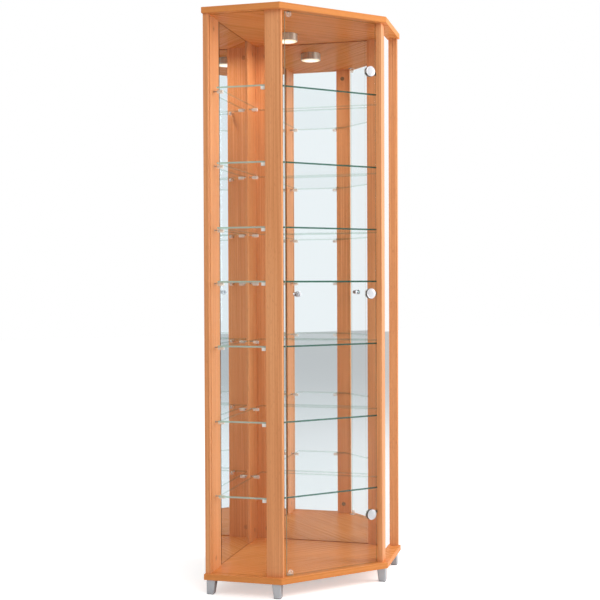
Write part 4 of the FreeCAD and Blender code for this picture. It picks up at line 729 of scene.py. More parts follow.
class Workpiece:
    """One piece on the bench, shaped with Blender's own mesh tools."""

    # points nearer than this are joined, edges sharper than this are softened, and the others are
    # shaded smooth up to the second angle
    weld: float = 0.002 * MM
    sharp: float = math.radians(30)
    smooth: float = math.radians(35)

    def __init__(self, name: str) -> None:
        """Take the object that was just added, and put its place into its mesh.

        Args:
            name: the piece's name.
        """
        self.thing = bpy.context.active_object
        self.thing.name = self.thing.data.name = name
        bpy.ops.object.transform_apply(location=True, rotation=True, scale=True)

    @staticmethod
    def clear_bench() -> None:
        """Leave edit mode and deselect everything, so that no operator touches another piece."""
        if bpy.context.mode != "OBJECT":
            bpy.ops.object.mode_set(mode="OBJECT")
        bpy.ops.object.select_all(action="DESELECT")

    @classmethod
    def lathe(cls, name: str, profile: Sequence[tuple[float, float]], foot: Vector, axis: Vector,
              sides: int = 64) -> "Workpiece":
        """Turn a piece: start from a filled circle, and raise it by extruding and scaling its end.

        Args:
            name: the piece's name.
            profile: radius and height along the axis of each step, the first one being the circle.
            foot: the point of the axis at height 0.
            axis: the direction of the axis.
            sides: corners of the circle.

        Returns:
            The piece.
        """
        cls.clear_bench()
        turn = Vector((0, 0, 1)).rotation_difference(axis).to_euler()
        radius, height = profile[0]
        bpy.ops.mesh.primitive_circle_add(vertices=sides, radius=radius, fill_type="NGON",
                                          location=foot + axis * height, rotation=turn)
        piece = cls(name)
        piece.work("FACE")
        bpy.ops.mesh.select_all(action="SELECT")
        for (last_radius, last_height), (radius, height) in zip(profile, profile[1:]):
            piece.rise(axis * (height - last_height))
            if radius != last_radius:
                piece.swell(radius / last_radius, foot + axis * height)
        return piece

    @classmethod
    def block(cls, name: str, size: Vector, centre: Vector, turn: float = 0.0) -> "Workpiece":
        """Start from a block.

        Args:
            name: the piece's name.
            size: its three sides.
            centre: its centre.
            turn: angle about the upright axis.

        Returns:
            The piece.
        """
        cls.clear_bench()
        bpy.ops.mesh.primitive_cube_add(size=1, location=centre, rotation=(0, 0, turn), scale=size)
        return cls(name)

    def choose(self, mode: str, parts: str, wanted: Callable[[object], bool]) -> None:
        """Select the parts of the mesh that pass a test, and leave the piece in edit mode.

        Args:
            mode: what is selectable: FACE, EDGE or VERT.
            parts: the mesh's own list of them.
            wanted: says yes or no to each of them.
        """
        self.work(mode)
        bpy.ops.mesh.select_all(action="DESELECT")
        bpy.ops.object.mode_set(mode="OBJECT")
        for part in getattr(self.thing.data, parts):
            part.select = wanted(part)
        bpy.ops.object.mode_set(mode="EDIT")

    def pick(self, wanted: Callable[[Vector, Vector], bool]) -> None:
        """Select the faces whose centre and normal pass a test."""
        self.choose("FACE", "polygons", lambda face: wanted(face.center, face.normal))

    def pick_points(self, wanted: Callable[[Vector], bool]) -> None:
        """Select the points that pass a test."""
        self.choose("VERT", "vertices", lambda point: wanted(point.co))

    def pick_edges(self, wanted: Callable[[Vector, Vector], bool]) -> None:
        """Select the edges whose two ends pass a test."""
        points = self.thing.data.vertices
        self.choose("EDGE", "edges", lambda edge: wanted(*(points[i].co for i in edge.vertices)))

    def work(self, mode: str) -> None:
        """Go to edit mode on this piece.

        Args:
            mode: what is selectable: FACE, EDGE or VERT.
        """
        if bpy.context.mode != "EDIT_MESH" or bpy.context.active_object != self.thing:
            self.clear_bench()
            self.thing.select_set(True)
            bpy.context.view_layer.objects.active = self.thing
            bpy.ops.object.mode_set(mode="EDIT")
        bpy.ops.mesh.select_mode(type=mode)

    def open_ends(self) -> None:
        """Join the two end faces of a turned form, which have the most corners, into a through hole."""
        bpy.ops.object.mode_set(mode="OBJECT")
        most = max(len(face.vertices) for face in self.thing.data.polygons)
        self.choose("FACE", "polygons", lambda face: len(face.vertices) == most)
        bpy.ops.mesh.bridge_edge_loops()

    def round_edges(self, wanted: Callable[[Vector, Vector], bool], width: float, segments: int) -> None:
        """Round the edges that pass a test on their two ends.

        Args:
            wanted: says yes or no from the ends of an edge.
            width: width of the rounding.
            segments: its steps.
        """
        self.pick_edges(wanted)
        bpy.ops.mesh.bevel(offset=width, offset_type="OFFSET", segments=segments, affect="EDGES",
                           clamp_overlap=True)

    def bore(self, centre: Vector, radius: float, deep: Vector, rim: float) -> None:
        """Sink a round hole into the face that is selected.

        Args:
            centre: the hole's centre on the face.
            radius: its radius.
            deep: its depth and direction.
            rim: first inset of the face, which leaves points for the circle.
        """
        bpy.ops.mesh.inset(thickness=rim, depth=0.0)
        bpy.ops.transform.tosphere(value=1.0, center_override=centre)
        self.swell(radius / self.spread(centre), centre)
        self.rise(deep)

    def spread(self, centre: Vector) -> float:
        """Return how far the selected points lie from a centre, on average.

        Args:
            centre: the point that they are measured from.

        Returns:
            Their mean distance.
        """
        bpy.ops.object.mode_set(mode="OBJECT")
        far = [(v.co - centre).length for v in self.thing.data.vertices if v.select]
        bpy.ops.object.mode_set(mode="EDIT")
        return sum(far) / len(far)

    def cut_with(self, tool: "Workpiece") -> None:
        """Cut another piece out of this one, and clear that piece away.

        Args:
            tool: the piece that leaves its shape.
        """
        for piece in (tool, self):
            piece.work("VERT")
            bpy.ops.mesh.select_all(action="SELECT")
            bpy.ops.mesh.normals_make_consistent(inside=False)
            bpy.ops.object.mode_set(mode="OBJECT")
        cut = self.thing.modifiers.new("cut", "BOOLEAN")
        cut.operation, cut.solver, cut.object = "DIFFERENCE", "EXACT", tool.thing
        bpy.context.view_layer.objects.active = self.thing
        bpy.ops.object.modifier_apply(modifier=cut.name)
        bpy.data.objects.remove(tool.thing)

    def rise(self, way: Vector) -> None:
        """Extrude what is selected."""
        bpy.ops.mesh.extrude_region_move(TRANSFORM_OT_translate={"value": way})

    def swell(self, factor: float, about: Vector) -> None:
        """Scale what is selected about a point."""
        bpy.ops.transform.resize(value=(factor,) * 3, center_override=about)

    def finish(self, finish: Finish, soften: float = 0.0, segments: int = 2) -> bpy.types.Object:
        """Close the piece: join doubles, turn the faces outwards, soften its edges and dress it.

        Args:
            finish: its finish.
            soften: width of the bevel on its sharp edges, or 0 for none.
            segments: steps of that bevel.

        Returns:
            The finished object.
        """
        self.work("VERT")
        bpy.ops.mesh.select_all(action="SELECT")
        bpy.ops.mesh.remove_doubles(threshold=self.weld)
        bpy.ops.mesh.normals_make_consistent(inside=False)
        bpy.ops.object.mode_set(mode="OBJECT")
        if soften:
            bevel = self.thing.modifiers.new("soft_edges", "BEVEL")
            bevel.width, bevel.segments = soften, segments
            bevel.limit_method, bevel.angle_limit = "ANGLE", self.sharp
            bpy.ops.object.modifier_apply(modifier=bevel.name)
        bpy.ops.object.shade_smooth_by_angle(angle=self.smooth)
        self.thing.data.materials.clear()
        self.thing.data.materials.append(finish.material())
        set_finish(self.thing, finish.slot)
        return self.thing


def settle(piece: bpy.types.Object, body: str, *nodes: str) -> None:
    """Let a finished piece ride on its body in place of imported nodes, and report it.

    Args:
        piece: the finished object.
        body: the body that carries it.
        *nodes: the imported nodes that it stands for.
    """
    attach(piece, body)
    if nodes:
        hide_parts(*nodes)
    LOG.info("%s rides on %s for %s", piece.name, body, ", ".join(nodes) or "nothing")


def repeat(piece: bpy.types.Object, name: str, place: Matrix) -> bpy.types.Object:
    """Copy a finished piece with its own mesh.

    Args:
        piece: the piece to copy.
        name: the copy's name.
        place: the move from the first piece to the copy, which goes into the mesh.

    Returns:
        The copy.
    """
    Workpiece.clear_bench()
    piece.select_set(True)
    bpy.context.view_layer.objects.active = piece
    bpy.ops.object.duplicate(linked=False)
    copy = bpy.context.active_object
    copy.name = copy.data.name = name
    copy.data.transform(place)
    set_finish(copy, piece["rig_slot"])
    return copy


# ---------------------------------------------------------------------------------------------
# sub-assemblies


@dataclass
class Carcass:
    """The panels and uprights, and what joins them."""

    panels: tuple[str, ...] = ("bottom_panel", "top_panel")
    boards: tuple[str, ...] = ("left_corner_board", "right_corner_board", "left_side_board",
                               "right_side_board", "left_front_post", "right_front_post")

    def build(self) -> None:
        """Dress the panels, boards, fittings and dowels."""
        dress(PANEL_BEECH, *self.panels)
        dress(BOARD_BEECH, *self.boards)
        dress(COVER_CAPS, "board_cam_fittings")
        dress(BRONZED, "post_cam_fittings")
        dress(ZINC, "cam_bolts")
        dress(DOWEL_BEECH, "dowels")


@dataclass
class Glazing:
    """The fixed glass sides, the mirrors and the glass shelves."""

    shelves: int = 7

    def build(self) -> None:
        """Dress the panes, mirrors and shelves."""
        dress(LEFT_GLASS, "left_side_glass")
        dress(RIGHT_GLASS, "right_side_glass")
        dress(LEFT_MIRROR, "left_mirror")
        dress(RIGHT_MIRROR, "right_mirror")
        dress(SHELF_GLASS, *(f"shelf_{i}" for i in range(1, self.shelves + 1)))


@dataclass(frozen=True)
class PinRow:
    """One upright's row of shelf pins: where it comes out of the wood, and its angle in plan."""

    name: str
    node: str
    x: float
    y: float
    angle: float
    reach: float
    finish: ClearPlastic = CLEAR_PLASTIC

    def twin(self) -> "PinRow":
        """Return the same row on the right-hand side."""
        return replace(self, name=self.name.replace("left", "right"), x=-self.x, angle=180 - self.angle)

    def place(self, height: float) -> Matrix:
        """Return where the pin at a height stands, with its axis along X."""
        turn = Matrix.Rotation(math.radians(self.angle), 4, "Z")
        return Matrix.Translation((self.x, self.y, height)) @ turn


@dataclass
class ShelfPins:
    """The supports under the shelves: a metal peg in the wood, and a clear block for the glass."""

    undersides: tuple[float, ...] = (0.287, 0.511, 0.735, 0.927, 1.087, 1.279, 1.503)
    rows: tuple[PinRow, ...] = (
        PinRow("left_corner", "wall_shelf_pins", -53.03 * MM, 184.91 * MM, -45, 29 * MM),
        PinRow("left_side", "wall_shelf_pins", -301.93 * MM, -63.99 * MM, -45, 29 * MM),
        PinRow("left_post", "post_shelf_pins", -202.94 * MM, -208.24 * MM, 135, 15 * MM, BRIGHT_PLASTIC),
    )
    peg_radius: float = 2.5 * MM
    peg_length: float = 9 * MM
    peg_arris: float = 0.4 * MM
    collar_radius: float = 3.3 * MM
    collar: float = 1.0 * MM
    collar_arris: float = 0.3 * MM
    shaft_radius: float = 2.0 * MM
    shaft_arris: float = 0.5 * MM
    # the block starts this far past the collar, and reaches this far past the peg's tip
    block_gap: float = 0.3 * MM
    tip_cover: float = 3 * MM
    seat: float = 2.7 * MM
    block_width: float = 8.6 * MM
    block_height: float = 9.5 * MM
    block_length: float = 19 * MM
    block_corner: float = 1.2 * MM

    def build(self) -> None:
        """Model each kind of pin once, and copy it to all its places."""
        for row in self.rows:
            peg, block = self.pin(row, self.undersides[0] - self.seat)
            home = row.place(self.undersides[0] - self.seat).inverted()
            for side in (row, row.twin()):
                for number, underside in enumerate(self.undersides, start=1):
                    if side is row and number == 1:
                        continue
                    move = side.place(underside - self.seat) @ home
                    for piece, kind in ((peg, "pin"), (block, "pin_block")):
                        name = f"shelf_{number}_{side.name}_{kind}"
                        settle(repeat(piece, name, move), "cabinet", row.node)
            settle(peg, "cabinet", row.node)
            settle(block, "cabinet", row.node)

    def pin(self, row: PinRow, height: float) -> tuple[bpy.types.Object, bpy.types.Object]:
        """Turn one peg, and mould the clear block over its head.

        Args:
            row: the row that it belongs to.
            height: height of the peg's axis.

        Returns:
            The peg and the block.
        """
        foot = Vector((row.x, row.y, height))
        axis = Vector((math.cos(math.radians(row.angle)), math.sin(math.radians(row.angle)), 0))
        r, arris, tip = self.peg_radius, self.peg_arris, row.reach - self.tip_cover
        rim, shaft, collar = self.collar_radius, self.shaft_radius, self.collar
        # the peg in the wood, its collar, and the thinner shaft in the block
        core = [(r - arris, -self.peg_length), (r, arris - self.peg_length), (r, 0.0), (rim, 0.0),
                (rim, collar - self.collar_arris), (rim - self.collar_arris, collar), (shaft, collar),
                (shaft, tip - self.shaft_arris), (shaft - self.shaft_arris, tip)]
        peg = Workpiece.lathe(f"shelf_1_{row.name}_pin", core, foot, axis, sides=20)
        start = max(collar + self.block_gap, row.reach - self.block_length)
        length = row.reach - start
        top = height + self.seat - 0.02 * MM
        size = Vector((length, self.block_width, self.block_height))
        drop = Vector((0, 0, top - height - self.block_height / 2))
        block = Workpiece.block(f"shelf_1_{row.name}_pin_block", size,
                                foot + axis * (start + length / 2) + drop, math.radians(row.angle))
        low = top - self.block_height
        block.round_edges(lambda a, b: abs(a.z - b.z) > self.block_height / 2, self.block_corner, 3)
        block.round_edges(lambda a, b: max(a.z, b.z) < low + 0.01 * MM, self.block_corner * 0.6, 2)
        block.pick(lambda centre, normal: normal.dot(axis) < -0.98)
        block.bore(foot + axis * start, self.shaft_radius + 0.1 * MM, axis * (tip - start + 0.2 * MM),
                   0.6 * MM)
        return peg.finish(NICKEL), block.finish(row.finish)


@dataclass
class Door:
    """The frameless glass door with its three capped hinges."""

    cap_radius: float = 16 * MM
    cap_height: float = 6.5 * MM
    cap_seat: float = -246.9 * MM
    cap_across: float = 137.0 * MM
    cavity_radius: float = 9.1 * MM
    cavity_height: float = 5.4 * MM
    seal_height: float = 4.2 * MM
    hinges: tuple[tuple[str, float], ...] = (("lower", 213.5 * MM), ("middle", 892 * MM),
                                             ("upper", 1570.5 * MM))

    def build(self) -> None:
        """Dress the pane and the hinges, and model the caps."""
        dress(DOOR_GLASS, "door_glass")
        for name, _ in self.hinges:
            dress(NICKEL, f"{name}_hinge_leaf", f"{name}_hinge_arm")
        dress(ZINC, "hinge_pins", "hinge_screws")
        dress(CLEAR_PLASTIC, "hinge_washers")
        self.caps()

    def caps(self) -> None:
        """Turn one hinge's face, a dark seal ring with a bright disc on it, and copy it to the others."""
        axis = Vector((0, -1, 0))
        first, height = self.hinges[0]
        foot = Vector((self.cap_across, self.cap_seat, height))
        r, h, seam = self.cap_radius, self.cap_height, self.seal_height
        # from the cavity out and up the side, over the rim, through a fine groove, and in over the face
        disc_profile = [(self.cavity_radius, self.cavity_height), (self.cavity_radius, seam),
                        (r - 0.6 * MM, seam), (r - 0.3 * MM, seam + 0.3 * MM), (r - 0.3 * MM, h - 0.9 * MM),
                        (r - 0.5 * MM, h - 0.4 * MM), (r - 1.0 * MM, h - 0.08 * MM), (r - 1.6 * MM, h),
                        (r - 2.4 * MM, h), (r - 2.9 * MM, h - 0.3 * MM), (r - 3.4 * MM, h - 0.3 * MM),
                        (r - 3.9 * MM, h - 0.1 * MM), (r - 9 * MM, h - 0.2 * MM),
                        (r - 15 * MM, h - 0.25 * MM)]
        # down the inside, out along the glass, and up the outside with its rounded edges
        ring_profile = [(self.cavity_radius, seam - 0.05 * MM), (self.cavity_radius, 0.0),
                        (r - 0.4 * MM, 0.0), (r, 0.4 * MM), (r, seam - 0.5 * MM),
                        (r - 0.4 * MM, seam - 0.05 * MM)]
        disc = Workpiece.lathe(f"{first}_hinge_cap_turned", disc_profile, foot, axis).finish(CHROME)
        ring = Workpiece.lathe(f"{first}_hinge_seal", ring_profile, foot, axis)
        ring.open_ends()
        for piece, kind in ((disc, "hinge_cap_turned"), (ring.finish(SEAL_PLASTIC), "hinge_seal")):
            for name, at in self.hinges[1:]:
                move = Matrix.Translation((0, 0, at - height))
                settle(repeat(piece, f"{name}_{kind}", move), "door", f"{name}_hinge_cap")
            settle(piece, "door", f"{first}_hinge_cap")


@dataclass
class Lock:
    """The round cam lock near the door's free edge."""

    x: float = -117 * MM
    z: float = 892 * MM
    plate_front: float = -249.4 * MM
    plate_back: float = -246.4 * MM
    barrel_end: float = -229.4 * MM
    plate_radius: float = 8.2 * MM
    barrel_radius: float = 6.3 * MM
    bore_radius: float = 5.1 * MM
    thread_pitch: float = 1.5 * MM
    thread_depth: float = 0.35 * MM

    def build(self) -> None:
        """Turn the body, and dress the nut, the plug and its cam."""
        dress(CHROME, "lock_plug")
        dress(ZINC, "lock_nut", "lock_cam", "cam_screw")
        self.body()

    def body(self) -> None:
        """Turn the plate with its rounded rim and the barrel with its ridges, hollow for the plug."""
        axis = Vector((0, -1, 0))
        foot = Vector((self.x, self.barrel_end, self.z))
        r, barrel, bore = self.plate_radius, self.barrel_radius, self.bore_radius
        back, front = self.barrel_end - self.plate_back, self.barrel_end - self.plate_front
        # the barrel from its end, with a ridge to every pitch
        profile = [(barrel - 0.5 * MM, 0.0), (barrel, 0.5 * MM)]
        height = 1.0 * MM
        while height + self.thread_pitch < back - 6 * MM:
            profile += [(barrel, height), (barrel - self.thread_depth, height + 0.4 * self.thread_pitch),
                        (barrel, height + 0.8 * self.thread_pitch)]
            height += self.thread_pitch
        # the back of the plate, its rounded rim, its face, and down into the bore
        profile += [(barrel, back), (r - 0.2 * MM, back), (r, back + 0.2 * MM), (r, front - 1.0 * MM),
                    (r - 0.3 * MM, front - 0.4 * MM), (r - 1.0 * MM, front), (bore + 0.6 * MM, front),
                    (bore, front - 0.5 * MM), (bore, 0.2 * MM)]
        piece = Workpiece.lathe("lock_body_turned", profile, foot, axis, sides=48)
        settle(piece.finish(CHROME), "door", "lock_body")


@dataclass
class DoorStops:
    """The clear stops behind the door's free edge: a base on the panel and an arched pad for the glass."""

    x: float = -143 * MM
    front: float = -241.1 * MM
    floor: float = 62 * MM
    ceiling: float = 1722 * MM
    width: float = 17 * MM
    height: float = 17 * MM
    pad: float = 4 * MM
    depth: float = 13 * MM
    base: float = 3 * MM
    arris: float = 0.5 * MM
    screw_y: float = -232.6 * MM
    screw_radius: float = 1.9 * MM
    sink_radius: float = 3.7 * MM

    def build(self) -> None:
        """Model the lower stop, and copy it turned over to the top panel."""
        dress(ZINC, "stop_screws")
        stop = Workpiece.block("lower_door_stop_moulded", Vector((self.width, self.pad, self.base)),
                               Vector((self.x, self.front + self.pad / 2, self.floor + self.base / 2)))
        stop.pick(lambda centre, normal: normal.y > 0.9)
        stop.rise(Vector((0, self.depth - self.pad, 0)))
        stop.pick(lambda centre, normal: normal.z > 0.9 and centre.y < self.front + self.pad)
        stop.rise(Vector((0, 0, self.height - self.base)))
        top = self.floor + self.height - 0.1 * MM
        stop.round_edges(lambda a, b: min(a.z, b.z) > top and abs(a.x - b.x) < 0.1 * MM,
                         self.width / 2 - 0.2 * MM, 10)
        # the screw's hole and its sink, in heights from 1 mm under the base
        surface = self.base + 1 * MM
        stop.cut_with(Workpiece.lathe(
            "screw_sink", [(self.screw_radius, 0.0), (self.screw_radius, surface - 1.8 * MM),
                           (self.sink_radius, surface), (self.sink_radius, surface + 1 * MM)],
            Vector((self.x, self.screw_y, self.floor - 1 * MM)), Vector((0, 0, 1)), sides=32))
        # this bevel comes out with no width, and why isn't known
        piece = stop.finish(STOP_PLASTIC, soften=self.arris, segments=2)
        middle = (self.floor + self.ceiling) / 2
        # half a turn, about the line through the middle that runs from front to back
        over = (Matrix.Translation((self.x, 0, middle)) @ Matrix.Diagonal((-1, 1, -1, 1))
                @ Matrix.Translation((-self.x, 0, -middle)))
        settle(repeat(piece, "upper_door_stop_moulded", over), "cabinet", "upper_door_stop")
        settle(piece, "cabinet", "lower_door_stop")


@dataclass
class Lamp:
    """The round lamp under the top panel."""

    x: float = 0.0
    y: float = 24 * MM
    ceiling: float = 1722 * MM
    rim: float = 1698.5 * MM
    lens_face: float = 1697.4 * MM
    lens_back: float = 1702.5 * MM
    radius: float = 34 * MM
    wall: float = 2 * MM
    light_height: float = 1695.5 * MM
    light_size: float = 50 * MM
    light_power: float = 0.74

    def build(self) -> None:
        """Turn the housing and the lens, dress what is inside, and switch the lamp on."""
        dress(CERAMIC, "lamp_holder")
        dress(BULB, "lamp_bulb")
        dress(ZINC, "lamp_screws")
        dress(GREY_PLASTIC, "cable_grommet")
        self.housing()
        self.lens()
        self.light()

    def housing(self) -> None:
        """Turn the cup, with its rolled rim, a fine groove above that and a step under the panel."""
        up = Vector((0, 0, 1))
        foot = Vector((self.x, self.y, 0))
        r, inner = self.radius, self.radius - self.wall
        top, low = self.ceiling, self.rim
        # down the inside, round the rim, over the groove, up the outside and in at the step
        profile = [(inner, top - self.wall), (inner, low + 0.6 * MM), (inner + 0.4 * MM, low + 0.1 * MM),
                   (inner + 0.9 * MM, low), (r - 0.5 * MM, low + 0.2 * MM), (r, low + 0.9 * MM),
                   (r, low + 2.2 * MM), (r - 0.5 * MM, low + 2.6 * MM), (r - 0.5 * MM, low + 3.2 * MM),
                   (r, low + 3.6 * MM), (r, top - 2.4 * MM), (r - 0.5 * MM, top - 2.0 * MM),
                   (r - 0.5 * MM, top - 0.02 * MM)]
        piece = Workpiece.lathe("lamp_housing_spun", profile, foot, up, sides=96)
        settle(piece.finish(BRUSHED), "cabinet", "lamp_housing")

    def lens(self) -> None:
        """Turn the lens, crowned on its face."""
        up = Vector((0, 0, 1))
        foot = Vector((self.x, self.y, 0))
        r, face = self.radius - self.wall - 0.1 * MM, self.lens_face
        # from the back down the side, and in over the crown
        profile = [(r - 0.4 * MM, self.lens_back), (r, self.lens_back - 0.4 * MM), (r, face + 2.4 * MM),
                   (r - 0.5 * MM, face + 1.5 * MM), (r - 2 * MM, face + 0.9 * MM),
                   (r - 7 * MM, face + 0.4 * MM), (r - 16 * MM, face + 0.1 * MM), (r - 26 * MM, face)]
        piece = Workpiece.lathe("lamp_lens_pressed", profile, foot, up, sides=96)
        settle(piece.finish(LENS), "cabinet", "lamp_lens")

    def light(self) -> None:
        """Let the lamp shine down into the cabinet."""
        data = bpy.data.lights.new("cabinet_light", "AREA")
        data.shape, data.size, data.energy = "DISK", self.light_size, self.light_power
        light = bpy.data.objects.new("cabinet_light", data)
        bpy.context.scene.collection.objects.link(light)
        light.location = (self.x, self.y, self.light_height)
        light.visible_camera = light.visible_glossy = False


@dataclass(frozen=True)
class Footing:
    """Where one foot stands: its axis on the floor and its turn about it."""

    node: str
    x: float
    y: float
    angle: float

    def place(self) -> Matrix:
        """Return the foot's place and turn."""
        turn = Matrix.Rotation(math.radians(self.angle), 4, "Z")
        return Matrix.Translation((self.x, self.y, 0)) @ turn


@dataclass
class Feet:
    """The five square feet: upright on their two outer faces and tapered on the two inner ones."""

    footings: tuple[Footing, ...] = (
        Footing("left_front_foot", -185.26 * MM, -238.65 * MM, 45),
        Footing("right_front_foot", 185.26 * MM, -238.65 * MM, 45),
        Footing("left_wall_foot", -332.34 * MM, -91.57 * MM, -45),
        Footing("right_wall_foot", 332.34 * MM, -91.57 * MM, 135),
        Footing("rear_foot", 0.0, 236.53 * MM, 225),
    )
    height: float = 44 * MM
    top: float = 28 * MM
    sole: float = 22 * MM
    corner: float = 3 * MM
    glide: float = 1.6 * MM
    glide_inset: float = 1.0 * MM
    bore_radius: float = 6 * MM
    bore_depth: float = 36 * MM
    foot_arris: float = 0.6 * MM
    glide_arris: float = 0.3 * MM

    def build(self) -> None:
        """Model one foot and its glide, and copy them to the other places."""
        dress(ZINC, "foot_screws")
        first = self.footings[0]
        foot, glide = self.foot(first), self.pad(first)
        home = first.place().inverted()
        for other in self.footings[1:]:
            move = other.place() @ home
            settle(repeat(foot, f"{other.node}_moulded", move), "cabinet", other.node)
            settle(repeat(glide, f"{other.node}_glide", move), "cabinet", other.node)
        settle(foot, "cabinet", first.node)
        settle(glide, "cabinet", first.node)

    def tapered(self, name: str, footing: Footing, low: float, high: float, inset: float) -> Workpiece:
        """Make a slice of the tapered foot with rounded corners.

        Args:
            name: the piece's name.
            footing: where it stands.
            low: height of its underside.
            high: height of its top.
            inset: how far its sides stand inside the foot's.

        Returns:
            The piece.
        """
        at_low = self.sole + (self.top - self.sole) * low / self.height
        at_high = self.sole + (self.top - self.sole) * high / self.height
        place = footing.place()
        middle = (at_high - self.sole) / 2
        width = at_high - 2 * inset
        centre = place @ Vector((middle, middle, (low + high) / 2))
        piece = Workpiece.block(name, Vector((width, width, high - low)), centre,
                                math.radians(footing.angle))
        piece.pick_points(lambda point: point.z < (low + high) / 2)
        fixed = place @ Vector((inset - self.sole / 2, inset - self.sole / 2, low))
        piece.swell((at_low - 2 * inset) / width, fixed)
        piece.round_edges(lambda a, b: abs(a.z - b.z) > (high - low) / 2, self.corner - inset, 5)
        return piece

    def foot(self, footing: Footing) -> bpy.types.Object:
        """Model the foot with its bore from below.

        Args:
            footing: where it stands.

        Returns:
            The finished foot.
        """
        piece = self.tapered(f"{footing.node}_moulded", footing, self.glide, self.height, 0.0)
        piece.pick(lambda centre, normal: normal.z < -0.9)
        centre = Vector((footing.x, footing.y, self.glide))
        piece.bore(centre, self.bore_radius, Vector((0, 0, self.bore_depth - self.glide)), 2 * MM)
        # this bevel comes out about 0.2 mm wide: some edges on the rim of the bore are only 0.14 mm long
        return piece.finish(SILVER_PAINT, soften=self.foot_arris, segments=3)

    def pad(self, footing: Footing) -> bpy.types.Object:
        """Model the black glide under the foot.

        Args:
            footing: where the foot stands.

        Returns:
            The finished glide.
        """
        piece = self.tapered(f"{footing.node}_glide", footing, 0.0, self.glide, self.glide_inset)
        piece.pick(lambda centre, normal: normal.z < -0.9)
        piece.bore(Vector((footing.x, footing.y, 0)), self.bore_radius, Vector((0, 0, self.glide / 2)),
                   2 * MM)
        # this bevel comes out 0.001 mm wide: some edges on the rim of the bore are only 0.002 mm long
        return piece.finish(GLIDE_PLASTIC, soften=self.glide_arris, segments=2)


# ---------------------------------------------------------------------------------------------
# the studio


@dataclass(frozen=True)
class SoftLight:
    """One square soft light that looks at the middle of the cabinet."""

    name: str
    place: tuple[float, float, float]
    size: float
    power: float
    looks_at: tuple[float, float, float] = (0.0, 0.0, 0.9)

    def hang(self) -> None:
        """Hang the light and turn it to the cabinet."""
        data = bpy.data.lights.new(self.name, "AREA")
        data.shape, data.size, data.energy = "SQUARE", self.size, self.power
        light = bpy.data.objects.new(self.name, data)
        bpy.context.scene.collection.objects.link(light)
        light.location = self.place
        aim = Vector(self.looks_at) - light.location
        light.rotation_euler = aim.to_track_quat("-Z", "Y").to_euler()


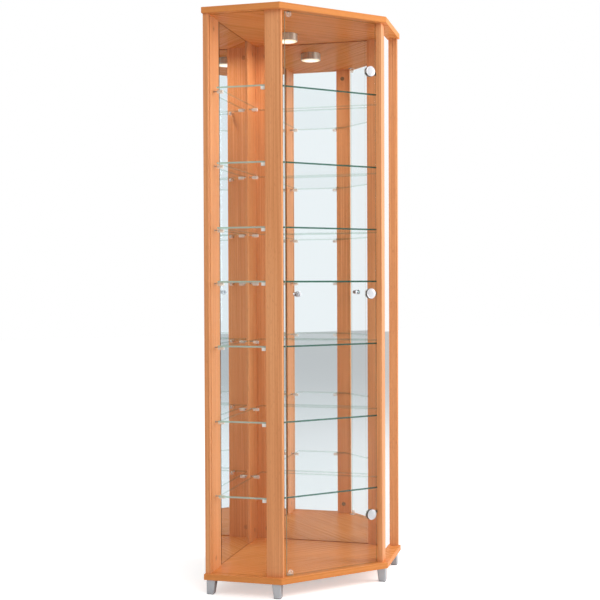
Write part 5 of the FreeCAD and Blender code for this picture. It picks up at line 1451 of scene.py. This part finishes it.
@dataclass
class Studio:
    """A pale floor under soft light in a white room.

    For mirrors and glass the room is dimmer towards dim_side, in front of the cabinet and to its right.
    Otherwise the door's glass would reflect the white of the room over what stands behind it.
    """

    floor_size: float = 30.0
    room_light: float = 0.586
    room_seen: float = 1.0
    dim_side: tuple[float, float, float] = (0.5, -0.866, 0.0)
    dim_from: float = 0.88
    dim_to: float = 0.95
    dim_level: float = 0.3
    floor_glow: float = 0.48
    lights: tuple[SoftLight, ...] = (SoftLight("key_light", (3.6, -1.8, 1.8), 2.4, 133.0),
                                     SoftLight("top_light", (-0.6, -3.0, 3.6), 2.4, 46.0))

    def build(self) -> None:
        """Make the room, the floor and the lights."""
        self.room()
        self.floor()
        for light in self.lights:
            light.hang()

    def seen_directly(self, tree: bpy.types.NodeTree) -> bpy.types.NodeSocket:
        """Tell the rays of the camera, of mirrors and of glass from those that carry light.

        Args:
            tree: the node tree.

        Returns:
            A socket that is 0 or 1.
        """
        path = add(tree, "ShaderNodeLightPath")
        first = add(tree, "ShaderNodeMath", {0: path.outputs["Is Camera Ray"],
                                             1: path.outputs["Is Glossy Ray"]}, operation="MAXIMUM")
        return add(tree, "ShaderNodeMath", {0: first.outputs[0], 1: path.outputs["Is Transmission Ray"]},
                   operation="MAXIMUM").outputs[0]

    def room(self) -> None:
        """Light the scene evenly from a white room."""
        world = bpy.data.worlds.new("white_room")
        bpy.context.scene.world = world
        world.use_nodes = True
        tree = world.node_tree
        tree.nodes.clear()
        where = add(tree, "ShaderNodeTexCoord")
        towards = add(tree, "ShaderNodeVectorMath", {0: where.outputs["Generated"], 1: self.dim_side},
                      operation="DOT_PRODUCT")
        seen = add(tree, "ShaderNodeMapRange", {0: towards.outputs["Value"], 1: self.dim_from, 2: self.dim_to,
                                                3: self.room_seen, 4: self.dim_level},
                   interpolation_type="SMOOTHSTEP")
        path = add(tree, "ShaderNodeLightPath").outputs["Is Camera Ray"]
        level = add(tree, "ShaderNodeMix", {0: self.seen_directly(tree), 2: self.room_light,
                                            3: seen.outputs[0]})
        level = add(tree, "ShaderNodeMix", {0: path, 2: level.outputs[0], 3: self.room_seen})
        light = add(tree, "ShaderNodeBackground", {"Color": (1, 1, 1, 1), "Strength": level.outputs[0]})
        add(tree, "ShaderNodeOutputWorld", {"Surface": light.outputs[0]})

    def floor(self) -> None:
        """Lay a matt white floor that keeps the cabinet's shadow."""
        Workpiece.clear_bench()
        bpy.ops.mesh.primitive_plane_add(size=self.floor_size, location=(0, 0, -0.2 * MM))
        floor = bpy.context.active_object
        floor.name = "studio_floor"
        made = bpy.data.materials.new("matt_white_floor")
        made.use_nodes = True
        tree = made.node_tree
        tree.nodes.clear()
        colour = add(tree, "ShaderNodeMix", {0: self.seen_directly(tree), 6: linear("#F0F0F0"),
                                             7: (1, 1, 1, 1)}, data_type="RGBA")
        matt = add(tree, "ShaderNodeBsdfDiffuse", {"Color": colour.outputs[2]})
        # for the camera alone the floor is lifted to the white of the room, and its shadow stays
        path = add(tree, "ShaderNodeLightPath")
        lift = add(tree, "ShaderNodeMath", {0: path.outputs["Is Camera Ray"], 1: self.floor_glow},
                   operation="MULTIPLY")
        glow = add(tree, "ShaderNodeEmission", {"Color": (1, 1, 1, 1), "Strength": lift.outputs[0]})
        both = add(tree, "ShaderNodeAddShader", {0: matt.outputs[0], 1: glow.outputs[0]})
        add(tree, "ShaderNodeOutputMaterial", {"Surface": both.outputs[0]})
        floor.data.materials.append(made)


@dataclass
class Viewpoint:
    """The camera, in front of the cabinet and to its left."""

    eye: tuple[float, float, float] = (-1.74283, -3.05646, 0.92083)
    yaw: float = 30.13
    pitch: float = -0.811
    roll: float = -0.222
    lens: float = 66.06
    sensor: float = 36.0

    def build(self) -> None:
        """Set up the camera."""
        data = bpy.data.cameras.new("camera")
        data.lens, data.sensor_width = self.lens, self.sensor
        camera = bpy.data.objects.new("camera", data)
        bpy.context.scene.collection.objects.link(camera)
        turn = (Matrix.Rotation(math.radians(-self.yaw), 4, "Z")
                @ Matrix.Rotation(math.radians(90 + self.pitch), 4, "X")
                @ Matrix.Rotation(math.radians(self.roll), 4, "Z"))
        camera.matrix_world = Matrix.Translation(self.eye) @ turn
        bpy.context.scene.camera = camera


def main() -> None:
    """Build the cabinet's sub-assemblies, the studio and the camera, in that order."""
    logging.basicConfig(level=logging.INFO, format="%(message)s")
    for part in (Carcass(), Glazing(), ShelfPins(), Door(), Lock(), DoorStops(), Lamp(), Feet(), Studio(),
                 Viewpoint()):
        LOG.info("building %s", type(part).__name__)
        part.build()
    scene = bpy.context.scene
    scene.view_settings.view_transform = "Standard"
    # glass stands behind glass between two mirrors, so light passes many faces
    scene.cycles.transparent_max_bounces = 48
    scene.cycles.glossy_bounces = 10
    scene.cycles.max_bounces = 16
    scene.cycles.caustics_reflective = True
    scene.cycles.caustics_refractive = False


if __name__ == "__main__":
    main()
